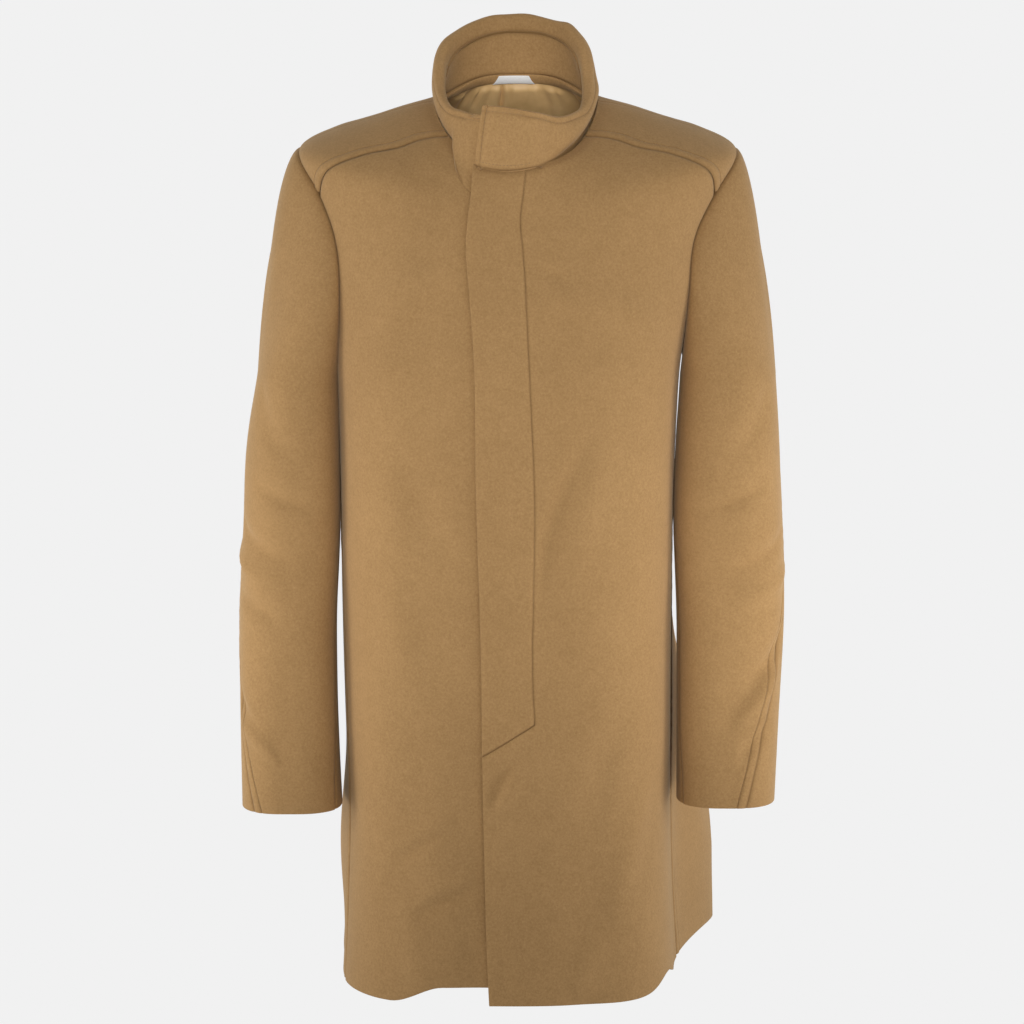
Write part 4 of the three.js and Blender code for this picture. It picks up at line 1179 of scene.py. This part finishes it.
def addInside():
    foot = cut["neck"] - 1 - inside["facingWidth"]
    top = cut["neck"] + inside["facingRise"]
    ring = np.linspace(70, 290, 120)
    facing = insideGrid(ring, lambda a, v: mix(foot, top, v), 5, collar["inset"] + 1.8)
    clothPiece("neck_facing", facing, -1, "wool_collar", inside["facingWall"], (), 0.5)

    def low(angle):
        return mix(inside["sideLevel"], inside["liningDepth"], softStep(66, 36, np.abs(angle - 180)))

    def pleats(angle, v):
        total = 0
        for place, width, depth in zip(*liningPleats.values()):
            lean = place + 4 * np.sin(place) * (1 - v)
            total = total - depth * bell(angle - lean, width)
        return (5 + total) * softStep(0, 0.1, 1 - v)
    ring = np.linspace(58, 302, 260)
    lining = insideGrid(
        ring, lambda a, v: mix(low(a), foot - 0.5, v ** 0.8), 34, collar["inset"] + 1.2, pleats)
    clothPiece("lining_back", lining, -1, "lining", cloth["liningWall"], (), 0.4)
    half = math.degrees(math.atan2(inside["labelWidth"] / 2, inside["labelRadius"]))
    middle = 180 - math.degrees(math.atan2(inside["labelX"], inside["labelRadius"]))
    high = cut["neck"] + inside["labelRise"]
    ring = np.linspace(middle - half, middle + half, 30)
    label = insideGrid(ring, lambda a, v: high - inside["labelHeight"] * (1 - v), 7,
                       collar["inset"] + 3.1, None, inside["labelTaper"])
    clothPiece("label", label, -1, "label", inside["labelWall"], (), 0.3,
               inside["labelTurned"] * mm)


addFrontRight()
addFrontLeft()
addPlacket()
addYoke("right")
addYoke("left")
addBack()
print("body made")
addSleeve("right")
addSleeve("left")
print("sleeves made")
collarGrid = addCollarOuter()
addCollarInner()
addInside()
print("collar and inside made")

# Stitches: short rounded threads, one after another along each line of topstitching
stitch = {"pitch": 3.6, "length": 2.7, "radius": 0.27}


def addCollarStitches(points, normal, far, turns):
    inset = collar["stitchInset"]
    points, normal = points[:, collarFace], normal[:, collarFace]
    far = {edge: distance[:, collarFace] for edge, distance in far.items()}
    addStitchLine(points, normal, -far["rim"], -inset)
    tab = turns > collar["tabTo"]
    addStitchLine(points[tab], normal[tab], far["start"][tab], inset)
    # down the free end, between the other two lines
    between = slice(4, 20)
    end, endNormal = points.transpose(1, 0, 2), normal.transpose(1, 0, 2)
    addStitchLine(end[between], endNormal[between], far["top"].T[between], inset)


def addStitches():
    bm = bmesh.new()
    bmesh.ops.create_uvsphere(bm, u_segments=6, v_segments=4, radius=1)
    bm.verts.ensure_lookup_table()
    one = np.array([vertex.co for vertex in bm.verts])
    one = one[:, [2, 0, 1]] * [stitch["length"] / 2, stitch["radius"], stitch["radius"]]
    oneFaces = [[vertex.index for vertex in face.verts] for face in bm.faces]
    bm.free()
    vertices, faces = [], []
    for line, facing in stitchLines:
        length = lengthAlong(line, 0)
        for k in range(int(length[-1] / stitch["pitch"])):
            at = (k + 0.5) * stitch["pitch"]
            centre, before, after, out = (
                np.array([np.interp(where, length, source[:, axis]) for axis in range(3)])
                for where, source in ((at, line), (at - 1, line), (at + 1, line), (at, facing)))
            way = (after - before) / max(np.linalg.norm(after - before), 1e-6)
            across = np.cross(way, out)
            across = across / max(np.linalg.norm(across), 1e-6)
            turn = np.array([way, across, np.cross(across, way)])
            first = len(vertices) * len(one)
            vertices.append((centre + one @ turn) * mm)
            faces += [[index + first for index in face] for face in oneFaces]
    mesh = bpy.data.meshes.new("topstitching")
    mesh.from_pydata(np.concatenate(vertices).tolist(), [], faces)
    mesh.shade_smooth()
    mesh.materials.append(materials["thread"])
    piece = bpy.data.objects.new("topstitching", mesh)
    scene.collection.objects.link(piece)
    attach(piece, "root")


addCollarStitches(*collarGrid)
addStitches()
print("stitches made")

# Studio: a pale glowing floor, dimmer under the coat, and soft lights at the sides and in front
studio = {
    "floorZ": -1.3, "floorSize": 300, "floorGlow": 0.87, "shade": 0.3, "shadeReach": (0.45, 0.97),
    "worldGlow": 0.47,
}


def addFloor():
    mesh = bpy.data.meshes.new("floor")
    bm = bmesh.new()
    bmesh.ops.create_grid(bm, x_segments=1, y_segments=1, size=studio["floorSize"])
    bm.to_mesh(mesh)
    bm.free()
    floor = bpy.data.objects.new("floor", mesh)
    floor.location.z = studio["floorZ"]
    scene.collection.objects.link(floor)
    s = Shader("studio floor")
    away = Value(s, s.add("ShaderNodeVectorMath", {"operation": "LENGTH"}, {0: s.coordinates}).outputs[1])
    # painted shadow: the floor's glow falls to shade within shadeReach of the middle, a dark disc under the
    # coat that also dims the floor's light on the hem
    glow = s.ramp(away, *studio["shadeReach"]) * (1 - studio["shade"]) + studio["shade"]
    colour = s.blend(glow, (0, 0, 0, 1), (1, 1, 1, 1))
    emission = s.add("ShaderNodeEmission", None, {"Color": colour, "Strength": studio["floorGlow"]})
    matt = s.add("ShaderNodeBsdfDiffuse", None, {"Color": (0.02, 0.02, 0.02, 1)})
    both = s.add("ShaderNodeAddShader")
    s.tree.links.new(emission.outputs[0], both.inputs[0])
    s.tree.links.new(matt.outputs[0], both.inputs[1])
    output = s.add("ShaderNodeOutputMaterial")
    s.tree.links.new(both.outputs[0], output.inputs[0])
    mesh.materials.append(s.material)


# A soft box at a place, facing a target. Sizes are in metres, power in watts, spread in degrees.
def addLight(name, place, target, size, power, spread):
    data = bpy.data.lights.new(name, "AREA")
    data.shape = "RECTANGLE"
    data.size, data.size_y = size
    data.energy = power
    data.spread = math.radians(spread)
    lamp = bpy.data.objects.new(name, data)
    lamp.location = place
    way = Vector(target) - Vector(place)
    lamp.rotation_euler = way.to_track_quat("-Z", "Y").to_euler()
    scene.collection.objects.link(lamp)


def addWorld():
    world = bpy.data.worlds.new("studio")
    world.use_nodes = True
    background = world.node_tree.nodes["Background"]
    background.inputs[0].default_value = (1, 1, 1, 1)
    background.inputs[1].default_value = studio["worldGlow"]
    scene.world = world


addFloor()
addLight("left side box", (-1.5, -0.3, -0.5), (0, 0.05, -0.5), (0.4, 0.6), 1.8, 80)
addLight("right side box", (1.5, -0.3, -0.5), (0, 0.05, -0.5), (0.4, 0.6), 1.8, 80)
addLight("front spot", (-0.1, -3.3, -0.1), (-0.02, 0, -0.22), (0.5, 0.5), 0.36, 19)
addLight("left sleeve spot", (-0.9, -3.0, -0.45), (-0.27, 0, -0.50), (0.3, 0.3), 0.09, 11)
addLight("right sleeve spot", (0.9, -3.0, -0.45), (0.27, 0, -0.48), (0.3, 0.3), 0.165, 11)
addLight("neck fill", (0, -0.10, 0.125), (0, 0.07, 0.015), (0.09, 0.03), 0.019, 64)
addLight("collar spot", (0, -3.0, 0.5), (0, 0, 0.06), (0.3, 0.3), 0.035, 10)
addWorld()
scene.view_settings.view_transform = "Standard"
print("studio made")

for node, size in flatSizes.items():
    print("flat", node, size)
